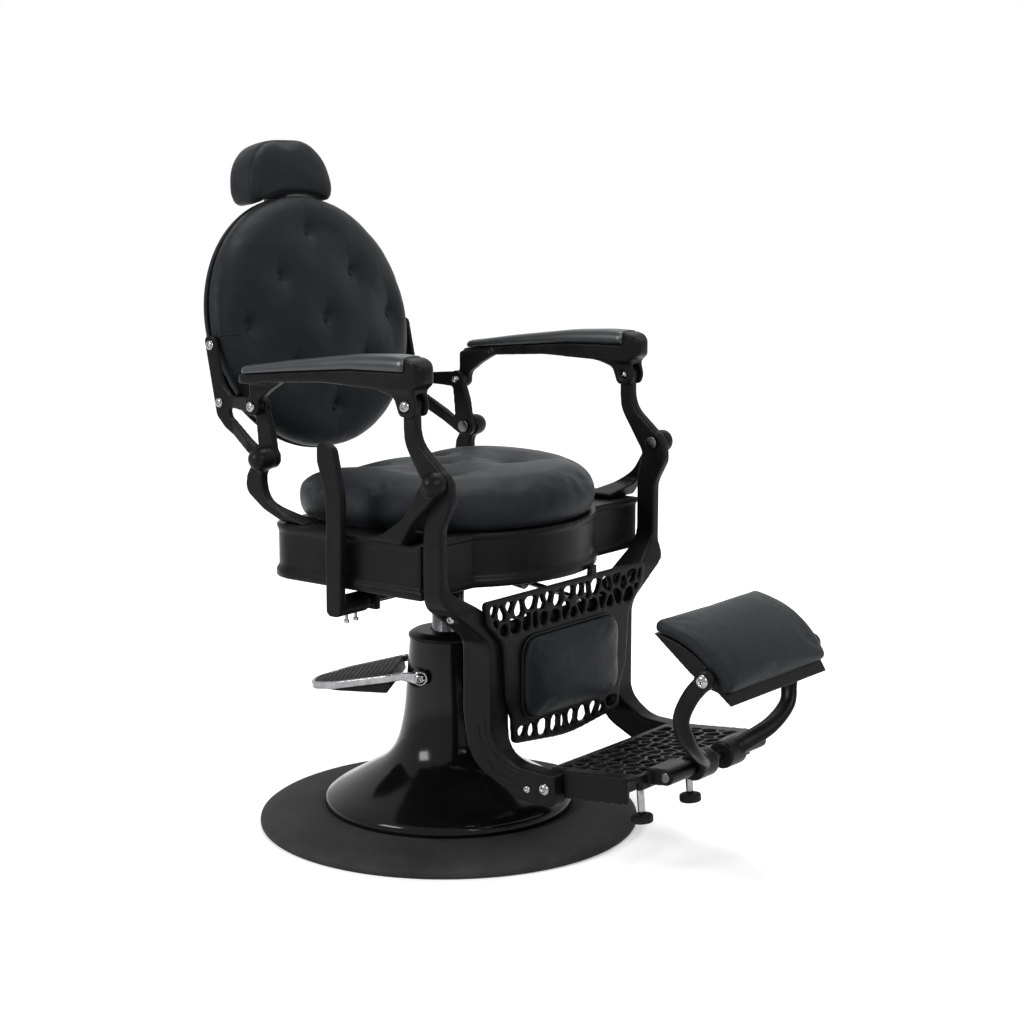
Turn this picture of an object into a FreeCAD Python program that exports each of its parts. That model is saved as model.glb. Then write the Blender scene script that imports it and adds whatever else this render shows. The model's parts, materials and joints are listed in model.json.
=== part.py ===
import FreeCAD, Part
import math
import os
from FreeCAD import Placement, Rotation, Vector

# Traditional hydraulic barber chair, millimetres, +Z up, the sitter faces -Y.
# Origin: middle of the base plate on the floor, on the swivel axis.
# Right and left are the sitter's own: right is -X, left is +X.
SIZES = {
    # Base, column and lift
    "base_radius": 330, "base_height": 31, "base_edge": 13, "base_slope": 28, "base_recess": 3.5,
    "hub_radius": 70, "foot_ring_width": 34,
    "bell_radius": 217, "bell_lip": 16, "bell_shoulder_radius": 164, "bell_shoulder_height": 48,
    "bell_neck_radius": 96, "bell_neck_height": 88, "column_foot_radius": 77, "column_foot_height": 156,
    "column_top_radius": 67, "column_top": 327, "cover_wall": 5, "cap_height": 13, "cap_top_radius": 56,
    "ram_radius": 28, "ram_bottom": 62, "ram_shoulder": 430, "cylinder_radius": 45, "cylinder_floor": 20,
    "spigot_radius": 22, "spigot_length": 32, "running_gap": 0.05, "face_gap": 0.3,
    # Foot pump pedal
    "pedal_turn": 120, "pedal_slope": 11.7, "pedal_rise": 9, "pedal_root": 66, "pedal_pivot_out": 36,
    "pedal_pivot_height": 268,
    "pedal_reach": 244, "pedal_half_width": 79, "pedal_tip_half_width": 58, "pedal_bar": 6,
    "pedal_bar_height": 13, "pedal_boss_radius": 13, "pedal_stub_radius": 6, "pedal_web_start": 92,
    "pedal_web_deep": 30, "pedal_web_thin": 6,
    # Seat frame and cushion
    "frame_bottom": 463, "frame_top": 552, "frame_wall": 8, "frame_deck": 10, "nose_radius": 252,
    "wing_half_width": 296, "side_half_width": 296, "frame_front": -190, "frame_rear": 150,
    "frame_corner": 60, "bead_out": 5, "bead_height": 16, "rib_half": 6, "rib_depth": 40,
    "boss_radius": 78, "boss_bottom": 470, "turntable_thickness": 12, "turntable_hub": 36,
    "seat_radius": 251, "seat_rear": 160, "seat_corner": 62, "seat_thickness": 84, "seat_crown_radius": 1500,
    "seat_edge": 30, "seat_seam": 9, "tuft_radius": 46, "tuft_depth": 11, "button_radius": 9,
    "button_height": 6,
    "seat_tuft_x": 86, "seat_tuft_step": 88, "seat_tuft_middle": 14,
    # Pivots of the reclining linkage, as side-view places
    "recline_y": 167, "recline_z": 654, "arm_rear_y": 187, "arm_rear_z": 739.5,
    "arm_front_y": -172, "arm_front_z": 769, "knee_y": -230, "knee_z": 653,
    "pin_radius": 8, "small_pin_radius": 6, "front_pin_slack": 1.6, "head_radius": 11, "head_height": 5,
    # Layers of the side castings, measured outwards from the middle plane
    "iron_inner": 251, "iron_thick": 13.5, "iron_plate_inner": 244.5, "iron_plate_thick": 9,
    "post_inner": 265, "post_thick": 18,
    "crank_inner": 283, "crank_thick": 18, "layer_gap": 0.5, "horn_thick": 18, "boss_eye": 20,
    "foot_flange": 12, "post_foot_gap": 5.6, "horn_foot_tuck": 3.8, "post_foot_front": 72,
    "horn_foot_rear": -74,
    # Arms
    "arm_inner": 270, "arm_width": 44, "arm_rear_end": 192, "arm_front_end": -205, "arm_low": 795,
    "arm_top": 822, "arm_clevis_inner": 274, "arm_clevis_width": 36, "clevis_side_gap": 1,
    "arm_corner": 16, "arm_pad_over": 6, "arm_pad_end": -172, "arm_pad_thick": 26, "arm_pad_edge": 10,
    # Back, tilted about its own middle
    "back_tilt": 11.5, "back_y": 315, "back_z": 856, "back_half_width": 243, "back_half_height": 226,
    "shell_rear": 26, "shell_front": 12, "shell_edge": 20, "back_crown": 52, "back_crown_radius": 1450,
    "back_edge": 14, "back_seam": 4, "back_tuft_x": 90, "back_tuft_step": 78,
    "iron_bolt_high": 832, "iron_bolt_low": 736,
    # Headrest
    "head_half_width": 101, "head_low": 190, "head_high": 323, "head_rear": 57, "head_front": 21,
    "head_corner": 52, "head_tip": 14, "head_edge": 12, "head_gap": 4, "head_post_half": 28,
    "head_post_thick": 8,
    "head_post_low": 60, "head_post_rear": 40, "guide_low": 118, "guide_high": 196, "guide_wall": 7,
    "slide_gap": 0.3, "knob_radius": 15, "knob_length": 24,
    # Leg frame, calf panel and footrest
    "leg_inner": 150, "leg_outer": 198, "toe_inner": 165, "leg_rear": -194, "leg_front": -250,
    "post_rear": -198, "post_front": -234, "jog_high": 462, "jog_low": 386, "toe_end": -378,
    "toe_low": 138, "toe_high": 190, "panel_thick": 10, "panel_low": 203, "panel_high": 456,
    "panel_top_half": 222, "panel_waist_half": 174, "panel_foot_half": 146, "calf_half_width": 132,
    "calf_low": 243, "calf_high": 386, "calf_thick": 24, "calf_corner": 22, "calf_edge": 12,
    "calf_crown_radius": 1200, "stop_tab_inner": 62, "stop_tab_width": 16,
    "pebble_pitch": 27, "pebble_web": 6, "crossbar_z": 400, "crossbar_half": 12, "crossbar_deep": 8,
    "tread_half_width": 180, "tread_rear": -345, "tread_depth": 172, "tread_top": 192, "tread_tilt": 5.5,
    "tread_thick": 9, "tread_skirt": 44, "tread_wall": 10, "tongue_thick": 13, "tread_pebble": 25,
    "bumper_x": 70, "bumper_y": -449, "bumper_stem_radius": 6, "bumper_stem": 45, "bumper_radius": 18,
    "bumper_thick": 14, "bolt_radius": 9, "bolt_head": 5, "spot_face": 258, "spot_y": -222, "spot_z": 432,
    # Foot pad and its yoke
    "hinge_out": 30, "yoke_z": 206, "yoke_rod_radius": 8, "yoke_inner": 18, "yoke_width": 48, "yoke_hub": 23,
    "yoke_bar": 28, "hinge_lug_inner": 70, "hinge_lug_thick": 70, "pad_out": 80, "pad_z": 376,
    "pad_half_width": 148, "pad_lug_thick": 15, "pad_lug_gap": 1.5, "pad_thick": 26, "pad_edge": 9,
    # Recline lever and locking gas spring
    "lever_y": -28, "lever_z": 436, "lever_inner": 309, "lever_thick": 15, "lever_width": 31,
    "lever_top": 704,
    "lever_shaft_radius": 9, "lever_shaft_end": 124, "lever_sleeve": 17, "lever_sleeve_length": 58,
    "gas_x": 100, "gas_seat_y": 122, "gas_seat_z": 448, "gas_leg_y": -222, "gas_tube_radius": 14,
    "gas_tube_start": 16, "gas_tube_length": 200, "gas_bore_depth": 155, "gas_rod_radius": 5,
    "gas_eye_radius": 12, "gas_eye_width": 14, "gas_lug_thick": 10,
}

doc = FreeCAD.newDocument("BarberChair")
sheet = doc.addObject("Spreadsheet::Sheet", "Sizes")
for row, (alias, value) in enumerate(SIZES.items(), 1):
    sheet.set(f"A{row}", alias)
    sheet.set(f"B{row}", str(value))
    sheet.setAlias(f"B{row}", alias)
doc.recompute()

RIGHT, LEFT = -1, 1
SIDES = ((RIGHT, "right"), (LEFT, "left"))
kept = []


def size(alias):
    return float(sheet.get(alias))


def keep(obj, label):
    """Name a finished sub-part and add it to the list that is written out."""
    obj.Label = label
    kept.append(obj)
    return obj


# Outlines


def rounded(corners):
    """Closed outline through (a, b, radius) corners: straight runs joined by tangent arcs."""
    points = [Vector(a, b, 0) for a, b, _ in corners]
    cuts = []
    for i, (_, _, radius) in enumerate(corners):
        here, before, after = points[i], points[i - 1], points[(i + 1) % len(points)]
        back, ahead = before - here, after - here
        room = 0.48 * min(back.Length, ahead.Length)
        back.normalize()
        ahead.normalize()
        half = back.getAngle(ahead) / 2
        reach = min(radius / math.tan(half), room)
        bow = (back + ahead).normalize() * (reach / math.cos(half) - reach * math.tan(half))
        cuts.append((here + back * reach, here + bow, here + ahead * reach, radius > 0))
    edges = []
    for i, (start, middle, end, is_round) in enumerate(cuts):
        if is_round:
            edges.append(Part.Arc(start, middle, end))
        follower = cuts[(i + 1) % len(cuts)][0]
        if end.distanceToPoint(follower) > 1e-6:
            edges.append(Part.LineSegment(end, follower))
    return edges


def clipped(corners, place, away):
    """Convex outline with everything beyond a straight line cut off; away points out of what is kept."""
    left = []
    for here, after in zip(corners, corners[1:] + corners[:1]):
        inside, inside_after = (here - place).dot(away), (after - place).dot(away)
        if inside <= 0:
            left.append(here)
        if inside * inside_after < 0:
            left.append(here + (after - here) * (inside / (inside - inside_after)))
    return left


def mosaic(region, pitch, web, cut_corners):
    """Pebble openings that fill a convex outline: the cells round wandering grid places, a web apart."""
    low = Vector(min(a for a, _ in region), min(b for _, b in region), 0)
    high = Vector(max(a for a, _ in region), max(b for _, b in region), 0)
    columns, rows = round((high.x - low.x) / pitch), max(1, round((high.y - low.y) / pitch))
    step_x, step_y = (high.x - low.x) / columns, (high.y - low.y) / rows
    places = []
    for row in range(rows):
        for column in range(columns + row % 2):
            k = 7 * row + column
            a = low.x + step_x * (column + 0.5 - 0.5 * (row % 2) + 0.27 * math.sin(4.7 * k + 1.3 * row))
            b = low.y + step_y * (row + 0.5 + 0.22 * math.sin(2.9 * k + 0.8))
            places.append(Vector(a, b, 0))
    loops = []
    for here in places:
        cell = [Vector(a, b, 0) for a, b in region]
        for other in places:
            if other is not here and cell:
                away = (other - here).normalize()
                cell = clipped(cell, (here + other) / 2 - away * (web / 2), away)
        cell = [b for a, b in zip(cell[-1:] + cell[:-1], cell) if a.distanceToPoint(b) > web / 2]
        if len(cell) > 2 and max(a.distanceToPoint(b) for a in cell for b in cell) > pitch / 2:
            if cut_corners:
                turns = zip(cell, cell[1:] + cell[:1])
                cell = [a + (b - a) * share for a, b in turns for share in (0.26, 0.74)]
            loops.append(rounded([(place.x, place.y, 0) for place in cell]))
    return loops


# Feature helpers


def body_sketch(body, role, loops, offset="0"):
    plane = next(f for f in body.Origin.OriginFeatures if f.Role == role)
    sketch = body.newObject("Sketcher::SketchObject", body.Name + "_outline")
    sketch.AttachmentSupport = [(plane, "")]
    sketch.MapMode = "FlatFace"
    sketch.setExpression("AttachmentOffset.Base.z", offset)
    for loop in loops:
        sketch.addGeometry(loop, False)
    return sketch


def slab(name, role, loops, offset, length):
    """Body with one outline on an origin plane, padded by a length along the plane's normal."""
    body = doc.addObject("PartDesign::Body", name)
    sketch = body_sketch(body, role, loops, offset)
    pad = body.newObject("PartDesign::Pad", name + "_pad")
    pad.Profile = sketch
    pad.setExpression("Length", length)
    return body


def side_slab(name, side, loops, inner, thick):
    """Slab drawn in the side view (y, z) and lying from inner to inner + thick off the middle plane."""
    offset = inner if side == LEFT else f"-({inner}) - ({thick})"
    return slab(name, "YZ_Plane", loops, offset, thick)


def front_slab(name, loops, front, depth):
    """Slab drawn in the front view (x, z), from y = front backwards by depth."""
    return slab(name, "XZ_Plane", loops, f"-({front}) - ({depth})", depth)


def turned(name, corners):
    """Body of revolution about Z from a closed (radius, height) outline."""
    body = doc.addObject("PartDesign::Body", name)
    sketch = body_sketch(body, "XZ_Plane", [rounded(corners)])
    spin = body.newObject("PartDesign::Revolution", name + "_spin")
    spin.Profile = sketch
    spin.ReferenceAxis = (sketch, ["V_Axis"])
    spin.Angle = 360
    return body


def cylinder(name, start, direction, radius, length):
    rod = doc.addObject("Part::Cylinder", name)
    rod.setExpression("Radius", radius)
    rod.setExpression("Height", length)
    rod.Placement = Placement(start, Rotation(Vector(0, 0, 1), direction))
    return rod


def cross_rod(name, side, inner, y, z, radius, length):
    """Round bar across the chair: from inner outwards on its side, at side-view place (y, z)."""
    return cylinder(name, Vector(side * inner, y, z), Vector(side, 0, 0), radius, length)


def ball(name, centre, radius):
    sphere = doc.addObject("Part::Sphere", name)
    sphere.setExpression("Radius", radius)
    sphere.Placement.Base = centre
    return sphere


def box(name, low, high):
    block = doc.addObject("Part::Box", name)
    block.Length, block.Width, block.Height = (b - a for a, b in zip(low, high))
    block.Placement.Base = Vector(*low)
    return block


def fuse(name, *shapes):
    joined = doc.addObject("Part::MultiFuse", name)
    joined.Shapes = list(shapes)
    joined.Refine = True
    return joined


def cut(name, base, *tools):
    tool = tools[0] if len(tools) == 1 else fuse(name + "_tools", *tools)
    removed = doc.addObject("Part::Cut", name)
    removed.Base, removed.Tool = base, tool
    return removed


def common(name, base, tool):
    shared = doc.addObject("Part::Common", name)
    shared.Base, shared.Tool = base, tool
    return shared


def soften(name, base, radius, chosen):
    """Round every edge of base for which chosen(edge) is true."""
    doc.recompute()
    smooth = doc.addObject("Part::Fillet", name)
    smooth.Base = base
    smooth.Edges = [(i, radius, radius) for i, edge in enumerate(base.Shape.Edges, 1) if chosen(edge)]
    return smooth


def group(name, *shapes):
    """Separate like pieces, such as screws, that share one file."""
    together = doc.addObject("Part::Compound", name)
    together.Links = list(shapes)
    return together


def middle(edge):
    return edge.valueAt((edge.FirstParameter + edge.LastParameter) / 2)


def spread(edge):
    return edge.BoundBox


# Base plate, column cover, hydraulic cylinder and ram

base_height, base_radius = size("base_height"), size("base_radius")
recess_out = base_radius - size("foot_ring_width")
base_plate = turned("base_plate", [
    (0, 0, 0), (size("hub_radius"), 0, 0), (size("hub_radius"), size("base_recess"), 4),
    (recess_out, size("base_recess"), 4), (recess_out, 0, 0), (base_radius - 3, 0, 2),
    (base_radius, 4, 3), (base_radius, size("base_edge"), 6),
    (base_radius - size("base_slope"), base_height - 4, 18), (size("bell_radius") + 6, base_height, 0),
    (0, base_height, 0),
])
keep(base_plate, "base_plate")

cover_line = [
    (size("bell_radius"), base_height, 0),
    (size("bell_radius"), base_height + size("bell_lip"), 14),
    (size("bell_shoulder_radius"), base_height + size("bell_shoulder_height"), 60),
    (size("bell_neck_radius"), base_height + size("bell_neck_height"), 70),
    (size("column_foot_radius"), base_height + size("column_foot_height"), 240),
    (size("column_top_radius"), size("column_top"), 0),
]
wall = size("cover_wall")
inner_line = [(radius - wall, z - wall * (k in (1, 2, 3)), bend) for k,
              (radius, z, bend) in enumerate(cover_line)]
cover_shell = turned("column_cover_shell", cover_line + inner_line[::-1])
pedal_place = Placement(Vector(0, 0, 0), Rotation(Vector(0, 0, 1), size("pedal_turn")))
pedal_side = pedal_place.multVec(Vector(0, 1, 0))
pedal_pivot = pedal_place.multVec(Vector(size("pedal_pivot_out"), 0, 0)) + Vector(0, 0,
                                                                                  size("pedal_pivot_height"))
boss_start, boss_end = 56, size("pedal_half_width") - size("pedal_bar") - size("layer_gap")
pedal_bosses = [
    cylinder(f"pedal_boss_{name}", pedal_pivot + pedal_side * (sign * boss_start), pedal_side * sign,
             "Sizes.pedal_boss_radius", f"{boss_end - boss_start}")
    for sign, name in ((-1, "far"), (1, "near"))
]
keep(fuse("column_cover", cover_shell, *pedal_bosses), "column_cover")

column_top = size("column_top")
ram_clear = size("ram_radius") + 1.5
keep(turned("column_cap", [
    (ram_clear, column_top, 0), (size("column_top_radius") + 2, column_top, 2),
    (size("column_top_radius") + 2, column_top + 5, 3), (size("cap_top_radius"),
                                                         column_top + size("cap_height"), 6),
    (ram_clear, column_top + size("cap_height"), 0),
]), "column_cap")

bore = size("ram_radius") + size("running_gap")
keep(turned("pump_cylinder", [
    (0, base_height, 0), (size("cylinder_radius"), base_height, 0),
    (size("cylinder_radius"), column_top - 1, 0),
    (bore, column_top - 1, 0), (bore, base_height + size("cylinder_floor"), 0),
    (0, base_height + size("cylinder_floor"), 0),
]), "pump_cylinder")

shoulder, spigot = size("ram_shoulder"), size("spigot_radius")
keep(turned("lift_ram", [
    (0, size("ram_bottom"), 0), (size("ram_radius"), size("ram_bottom"), 2),
    (size("ram_radius"), shoulder, 2),
    (spigot, shoulder, 0), (spigot, shoulder + size("spigot_length"), 2),
    (0, shoulder + size("spigot_length"), 0),
]), "lift_ram")

# Pump pedal: a chrome flat bar bent to a loop round the column, with a black tread wedge in its end

half, tip, reach, bar = (size(k) for k in ("pedal_half_width", "pedal_tip_half_width", "pedal_reach",
                                           "pedal_bar"))
pivot_out = size("pedal_pivot_out")
loop_start, pedal_rise = size("pedal_root"), size("pedal_rise")


def pedal_outline(inset):
    return [
        (loop_start, half - inset, 0), (pivot_out + 60, half - inset, 60), (reach - 52, tip - inset, 40),
        (reach - inset, tip - 36, 34), (reach - inset, 36 - tip, 34), (reach - 52, inset - tip, 40),
        (pivot_out + 60, inset - half, 60), (loop_start, inset - half, 0),
    ]


loop_corners = pedal_outline(0) + pedal_outline(bar)[::-1]
bar_height = "Sizes.pedal_bar_height"
loop_bar = slab("pedal_loop_bar", "XY_Plane", [rounded(loop_corners)],
                "Sizes.pedal_rise - Sizes.pedal_bar_height / 2", bar_height)
half_bar = size("pedal_bar_height") / 2
link_line = [
    (pivot_out - 9, 9, 0), (loop_start - 2, pedal_rise + half_bar, 10),
    (loop_start + 8, pedal_rise + half_bar, 0),
    (loop_start + 8, pedal_rise - half_bar, 0), (loop_start + 2, pedal_rise - half_bar, 10),
    (pivot_out + 7, -10, 0),
]
links = [front_slab(f"pedal_link_{name}", [rounded(link_line)], f"{start}", "Sizes.pedal_bar")
         for start, name in ((-half, "far"), (half - bar, "near"))]
eye_parts = [
    cylinder(f"pedal_eye_{name}", Vector(pivot_out, sign * half, 0), Vector(0, -sign, 0),
             "Sizes.pedal_boss_radius", "Sizes.pedal_bar")
    for sign, name in ((-1, "far"), (1, "near"))
]
stub_bore = cylinder("pedal_stub_bore", Vector(pivot_out, -half - 1, 0), Vector(0, 1, 0),
                     "Sizes.pedal_stub_radius + Sizes.running_gap", "2 * Sizes.pedal_half_width + 2")
pedal_loop = cut("pedal_loop", fuse("pedal_loop_joined", loop_bar, *links, *eye_parts), stub_bore)
web_top, web_start = pedal_rise + half_bar - 2, size("pedal_web_start")
web_side = slab("pedal_web_side", "XZ_Plane", [rounded([
    (web_start, web_top, 3), (reach, web_top, 0), (reach, web_top - size("pedal_web_thin"), 0),
    (web_start + 8, web_top - size("pedal_web_deep"), 8),
    (web_start, web_top - size("pedal_web_deep") + 8, 4),
])], "-200", "400")
web_plan = slab("pedal_web_plan", "XY_Plane", [rounded(pedal_outline(bar + 0.1))], "-60", "120")
pedal_tread = common("pedal_tread", web_side, web_plan)
slope = Placement(pedal_pivot, Rotation(pedal_side, size("pedal_slope")))
to_pivot = Placement(Vector(-pivot_out, 0, 0), Rotation())
for piece, label in ((pedal_loop, "pedal_loop"), (pedal_tread, "pedal_tread")):
    piece.Placement = slope.multiply(pedal_place).multiply(to_pivot)
    keep(piece, label)
stubs = [
    cylinder(f"pedal_stub_{name}", pedal_pivot + pedal_side * (sign * boss_end), pedal_side * sign,
             "Sizes.pedal_stub_radius", "Sizes.pedal_bar + 2 * Sizes.layer_gap")
    for sign, name in ((-1, "far"), (1, "near"))
]
stub_heads = [
    cylinder(f"pedal_stub_head_{name}", pedal_pivot + pedal_side * (sign * (half + size("layer_gap"))),
             pedal_side * sign, "Sizes.head_radius", "Sizes.head_height")
    for sign, name in ((-1, "far"), (1, "near"))
]
keep(group("pedal_bolts", *(fuse(f"pedal_bolt_{k}", a, b) for k,
                            (a, b) in enumerate(zip(stubs, stub_heads)))),
     "pedal_bolts")

# Seat frame: cast skirt with a round nose, square wings, a beaded lower edge and ribs under its deck


def frame_outline(grow):
    """Plan of the skirt, grown outwards: nose arc, wing fronts, bowed sides, rounded rear corners."""
    nose = size("nose_radius") + grow
    wing_x, side_x = size("wing_half_width") + grow, size("side_half_width") + grow
    front, rear = size("frame_front") - grow, size("frame_rear") + grow
    nose_x = math.sqrt(nose ** 2 - front ** 2)
    corner = size("frame_corner") + grow
    knee = corner * (1 - math.sqrt(0.5))
    nose_arc = Part.Arc(Vector(-nose_x, front, 0), Vector(0, -nose, 0), Vector(nose_x, front, 0))
    edges = [nose_arc]
    for sign in (1, -1):
        a, b = Vector(sign * nose_x, front, 0), Vector(sign * wing_x, front, 0)
        c = Vector(sign * side_x, rear - corner, 0)
        bow = Vector(sign * (side_x + 1), (front + rear - corner) / 2 + 60, 0)
        d = Vector(sign * (side_x - corner), rear, 0)
        turn = Vector(sign * (side_x - knee), rear - knee, 0)
        edges += [Part.LineSegment(a, b), Part.Arc(b, bow, c), Part.Arc(c, turn, d)]
    edges.append(Part.LineSegment(d, Vector(-d.x, rear, 0)))
    return edges


skirt = slab("skirt", "XY_Plane", [frame_outline(0)], "Sizes.frame_bottom",
             "Sizes.frame_top - Sizes.frame_bottom")
bead = slab("skirt_bead", "XY_Plane", [frame_outline(size("bead_out"))], "Sizes.frame_bottom",
            "Sizes.bead_height")
bead = soften("skirt_bead_round", bead, size("bead_out") - 0.6,
              lambda e: spread(e).ZLength < 1e-6 and spread(e).ZMin > size("frame_bottom") + 1)
rim = slab("skirt_rim", "XY_Plane", [frame_outline(3)], "Sizes.frame_top - 8", "8")
hollow = slab("skirt_hollow", "XY_Plane", [frame_outline(-size("frame_wall"))], "Sizes.frame_bottom - 1",
              "Sizes.frame_top - Sizes.frame_deck - Sizes.frame_bottom + 1")
deck_low, rib = size("frame_top") - size("frame_deck"), size("rib_half")
rib_low = deck_low - size("rib_depth")
inside = size("frame_wall") / 2
ribs = [
    box("rib_across", (inside - size("side_half_width"), -rib, rib_low),
        (size("side_half_width") - inside, rib, deck_low + 1)),
    box("rib_along", (-rib, inside - size("nose_radius"), rib_low),
        (rib, size("frame_rear") - inside, deck_low + 1)),
    cylinder("seat_boss", Vector(0, 0, size("boss_bottom")), Vector(0, 0, 1), "Sizes.boss_radius",
             "Sizes.frame_top - Sizes.frame_deck - Sizes.boss_bottom + 1"),
]
seat_frame = fuse("seat_frame", cut("skirt_shell", fuse("skirt_outside", skirt, bead, rim), hollow), *ribs)
keep(seat_frame, "seat_frame")

hub_bottom = shoulder + size("face_gap")
spigot_bore = spigot + size("running_gap")
plate_low = size("boss_bottom") - size("turntable_thickness")
keep(turned("turntable", [
    (spigot_bore, hub_bottom, 0), (size("turntable_hub"), hub_bottom, 2),
    (size("turntable_hub"), plate_low, 6),
    (size("boss_radius"), plate_low, 2), (size("boss_radius"), size("boss_bottom"), 0),
    (spigot_bore, size("boss_bottom"), 0),
]), "turntable")

# Seat cushion: round, flattened at the rear, crowned, with a drawn-in seam and sewn tufts

frame_top, seat_rear, seat_radius = size("frame_top"), size("seat_rear"), size("seat_radius")
seat_high = frame_top + size("seat_thickness")
round_pad = cylinder("seat_round", Vector(0, 0, frame_top), Vector(0, 0, 1), "Sizes.seat_radius",
                     "Sizes.seat_thickness + 1")
seat_clip = box("seat_clip", (-seat_radius - 1, -seat_radius - 1, frame_top - 1),
                (seat_radius + 1, seat_rear, seat_high + 2))
seat_plan = soften("seat_plan", common("seat_clipped", round_pad, seat_clip), size("seat_corner"),
                   lambda e: spread(e).ZLength > 1 and abs(middle(e).y - seat_rear) < 1e-3)
crown = ball("seat_crown", Vector(0, 0, seat_high - size("seat_crown_radius")), "Sizes.seat_crown_radius")
seat_domed = common("seat_domed", seat_plan, crown)
seat_edge_line = frame_top + size("seat_thickness") / 3
seat_soft = soften("seat_soft", seat_domed, size("seat_edge"),
                   lambda e: spread(e).ZMin > seat_edge_line)
seat_sewn = soften("seat_sewn", seat_soft, size("seat_seam"),
                   lambda e: spread(e).ZMax < frame_top + 1e-3)


def crowned(height, radius, x, y):
    """Height of a crown of the given sphere radius at plan place (x, y)."""
    return height - radius + math.sqrt(radius ** 2 - x ** 2 - y ** 2)


tuft_x, tuft_step, tuft_mid = size("seat_tuft_x"), size("seat_tuft_step"), size("seat_tuft_middle")
seat_tufts = [(0, tuft_mid)] + [(sx * tuft_x, tuft_mid + sy * tuft_step) for sx in (-1, 1) for sy in (-1, 1)]
tuft_radius, tuft_depth = size("tuft_radius"), size("tuft_depth")
seat_pits, seat_button_parts = [], []
for k, (x, y) in enumerate(seat_tufts):
    floor = crowned(seat_high, size("seat_crown_radius"), x, y) - tuft_depth
    seat_pits.append(ball(f"seat_pit_{k}", Vector(x, y, floor + tuft_radius), "Sizes.tuft_radius"))
    button_low = floor + tuft_radius - math.sqrt(tuft_radius ** 2 - size("button_radius") ** 2)
    seat_button_parts.append(cylinder(f"seat_button_{k}", Vector(x, y, button_low + 0.1), Vector(0, 0, 1),
                                      "Sizes.button_radius", "Sizes.button_height"))
keep(cut("seat_cushion", seat_sewn, *seat_pits), "seat_cushion")
keep(group("seat_buttons", *seat_button_parts), "seat_buttons")

# Side castings that carry the linkage: rear posts with the recline balls, front horns with the knee domes

recline_y, recline_z, knee_y, knee_z = (size(k) for k in ("recline_y", "recline_z", "knee_y", "knee_z"))
post_foot_front, horn_foot_rear = size("post_foot_front"), size("horn_foot_rear")
post_line = [
    (post_foot_front, frame_top, 0), (112, frame_top + 12, 30), (recline_y - 6, frame_top + 36, 40),
    (recline_y + 1, recline_z - 30, 30), (recline_y - 15, recline_z, 0), (recline_y + 15, recline_z, 0),
    (recline_y + 34, recline_z - 30, 24), (recline_y + 36, frame_top + 46, 40),
    (recline_y - 4, frame_top + 18, 50), (118, frame_top, 0),
]
horn_line = [
    (horn_foot_rear, frame_top, 0), (-126, frame_top + 12, 60), (-176, frame_top + 46, 60),
    (knee_y + 17, knee_z + 8, 0),
    (knee_y - 14, knee_z - 12, 0), (-190, frame_top + 36, 40), (-168, frame_top, 0),
]
post_out = size("post_inner") + size("post_thick")
horn_inner = size("crank_inner") + size("crank_thick") + size("layer_gap")
horn_out = horn_inner + size("horn_thick")
flange = size("foot_flange")


def cushion_side(y):
    """Half width of the round seat cushion at side-view place y."""
    return math.sqrt(seat_radius ** 2 - y ** 2)


post_foot_inner = cushion_side(post_foot_front) + size("post_foot_gap")
horn_foot_inner = cushion_side(horn_foot_rear) - size("horn_foot_tuck")


def foot_profile(side, foot_inner, plate_inner, plate_out, high):
    """Front-view strip: a flange on the seat deck turning up into a standing plate."""
    return [
        (side * foot_inner, frame_top, 0), (side * plate_out, frame_top, 6), (side * plate_out, high, 0),
        (side * plate_inner, high, 0), (side * plate_inner, frame_top + flange + 12, 14),
        (side * foot_inner, frame_top + flange - 3, 4),
    ]


for side, name in SIDES:
    foot = foot_profile(side, post_foot_inner, size("post_inner"), post_out, recline_z + 40)
    post = common(f"post_plate_{name}", side_slab(f"post_side_{name}", side, [rounded(post_line)], "200",
                                                  "200"),
                  front_slab(f"post_front_{name}", [rounded(foot)], "0", "300"))
    eye = cross_rod(f"post_eye_{name}", side, size("post_inner"), recline_y, recline_z, "Sizes.boss_eye",
                    "Sizes.post_thick")
    knob = ball(f"post_ball_{name}", Vector(side * (post_out + 2.5), recline_y, recline_z),
                "Sizes.boss_eye - 1")
    knob.Placement.Rotation = Rotation(Vector(1, 0, 0), Vector(side, 0, 0))
    hole = cross_rod(f"post_hole_{name}", side, size("post_inner") - 1, recline_y, recline_z,
                     "Sizes.pin_radius",
                     "Sizes.post_thick")
    keep(cut(f"rear_post_{name}", fuse(f"post_joined_{name}", post, eye, knob), hole), f"rear_post_{name}")

    foot = foot_profile(side, horn_foot_inner, horn_inner, horn_out, knee_z + 40)
    horn = common(f"horn_plate_{name}", side_slab(f"horn_side_{name}", side, [rounded(horn_line)], "200",
                                                  "200"),
                  front_slab(f"horn_front_{name}", [rounded(foot)], "-350", "350"))
    eye = cross_rod(f"horn_eye_{name}", side, horn_inner, knee_y, knee_z, "Sizes.boss_eye",
                    "Sizes.horn_thick")
    dome = ball(f"horn_dome_{name}", Vector(side * (horn_out - 6), knee_y, knee_z), "Sizes.boss_eye - 1")
    hole = cross_rod(f"horn_hole_{name}", side, horn_inner - 9, knee_y, knee_z, "Sizes.pin_radius",
                     "Sizes.horn_thick")
    dome_face = cross_rod(f"horn_face_{name}", side, horn_inner - 20, knee_y, knee_z, "40", "20")
    keep(cut(f"front_horn_{name}", fuse(f"horn_joined_{name}", horn, eye, dome), hole, dome_face),
         f"front_horn_{name}")


def headed_pin(name, side, inner, y, z, radius, length):
    """Pivot pin with a round head on its inner end."""
    shank = cross_rod(name + "_shank", side, inner, y, z, radius, f"{length}")
    head = cross_rod(name + "_head", side, inner - size("head_height"), y, z, "Sizes.head_radius",
                     "Sizes.head_height")
    return fuse(name, shank, head)


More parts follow.
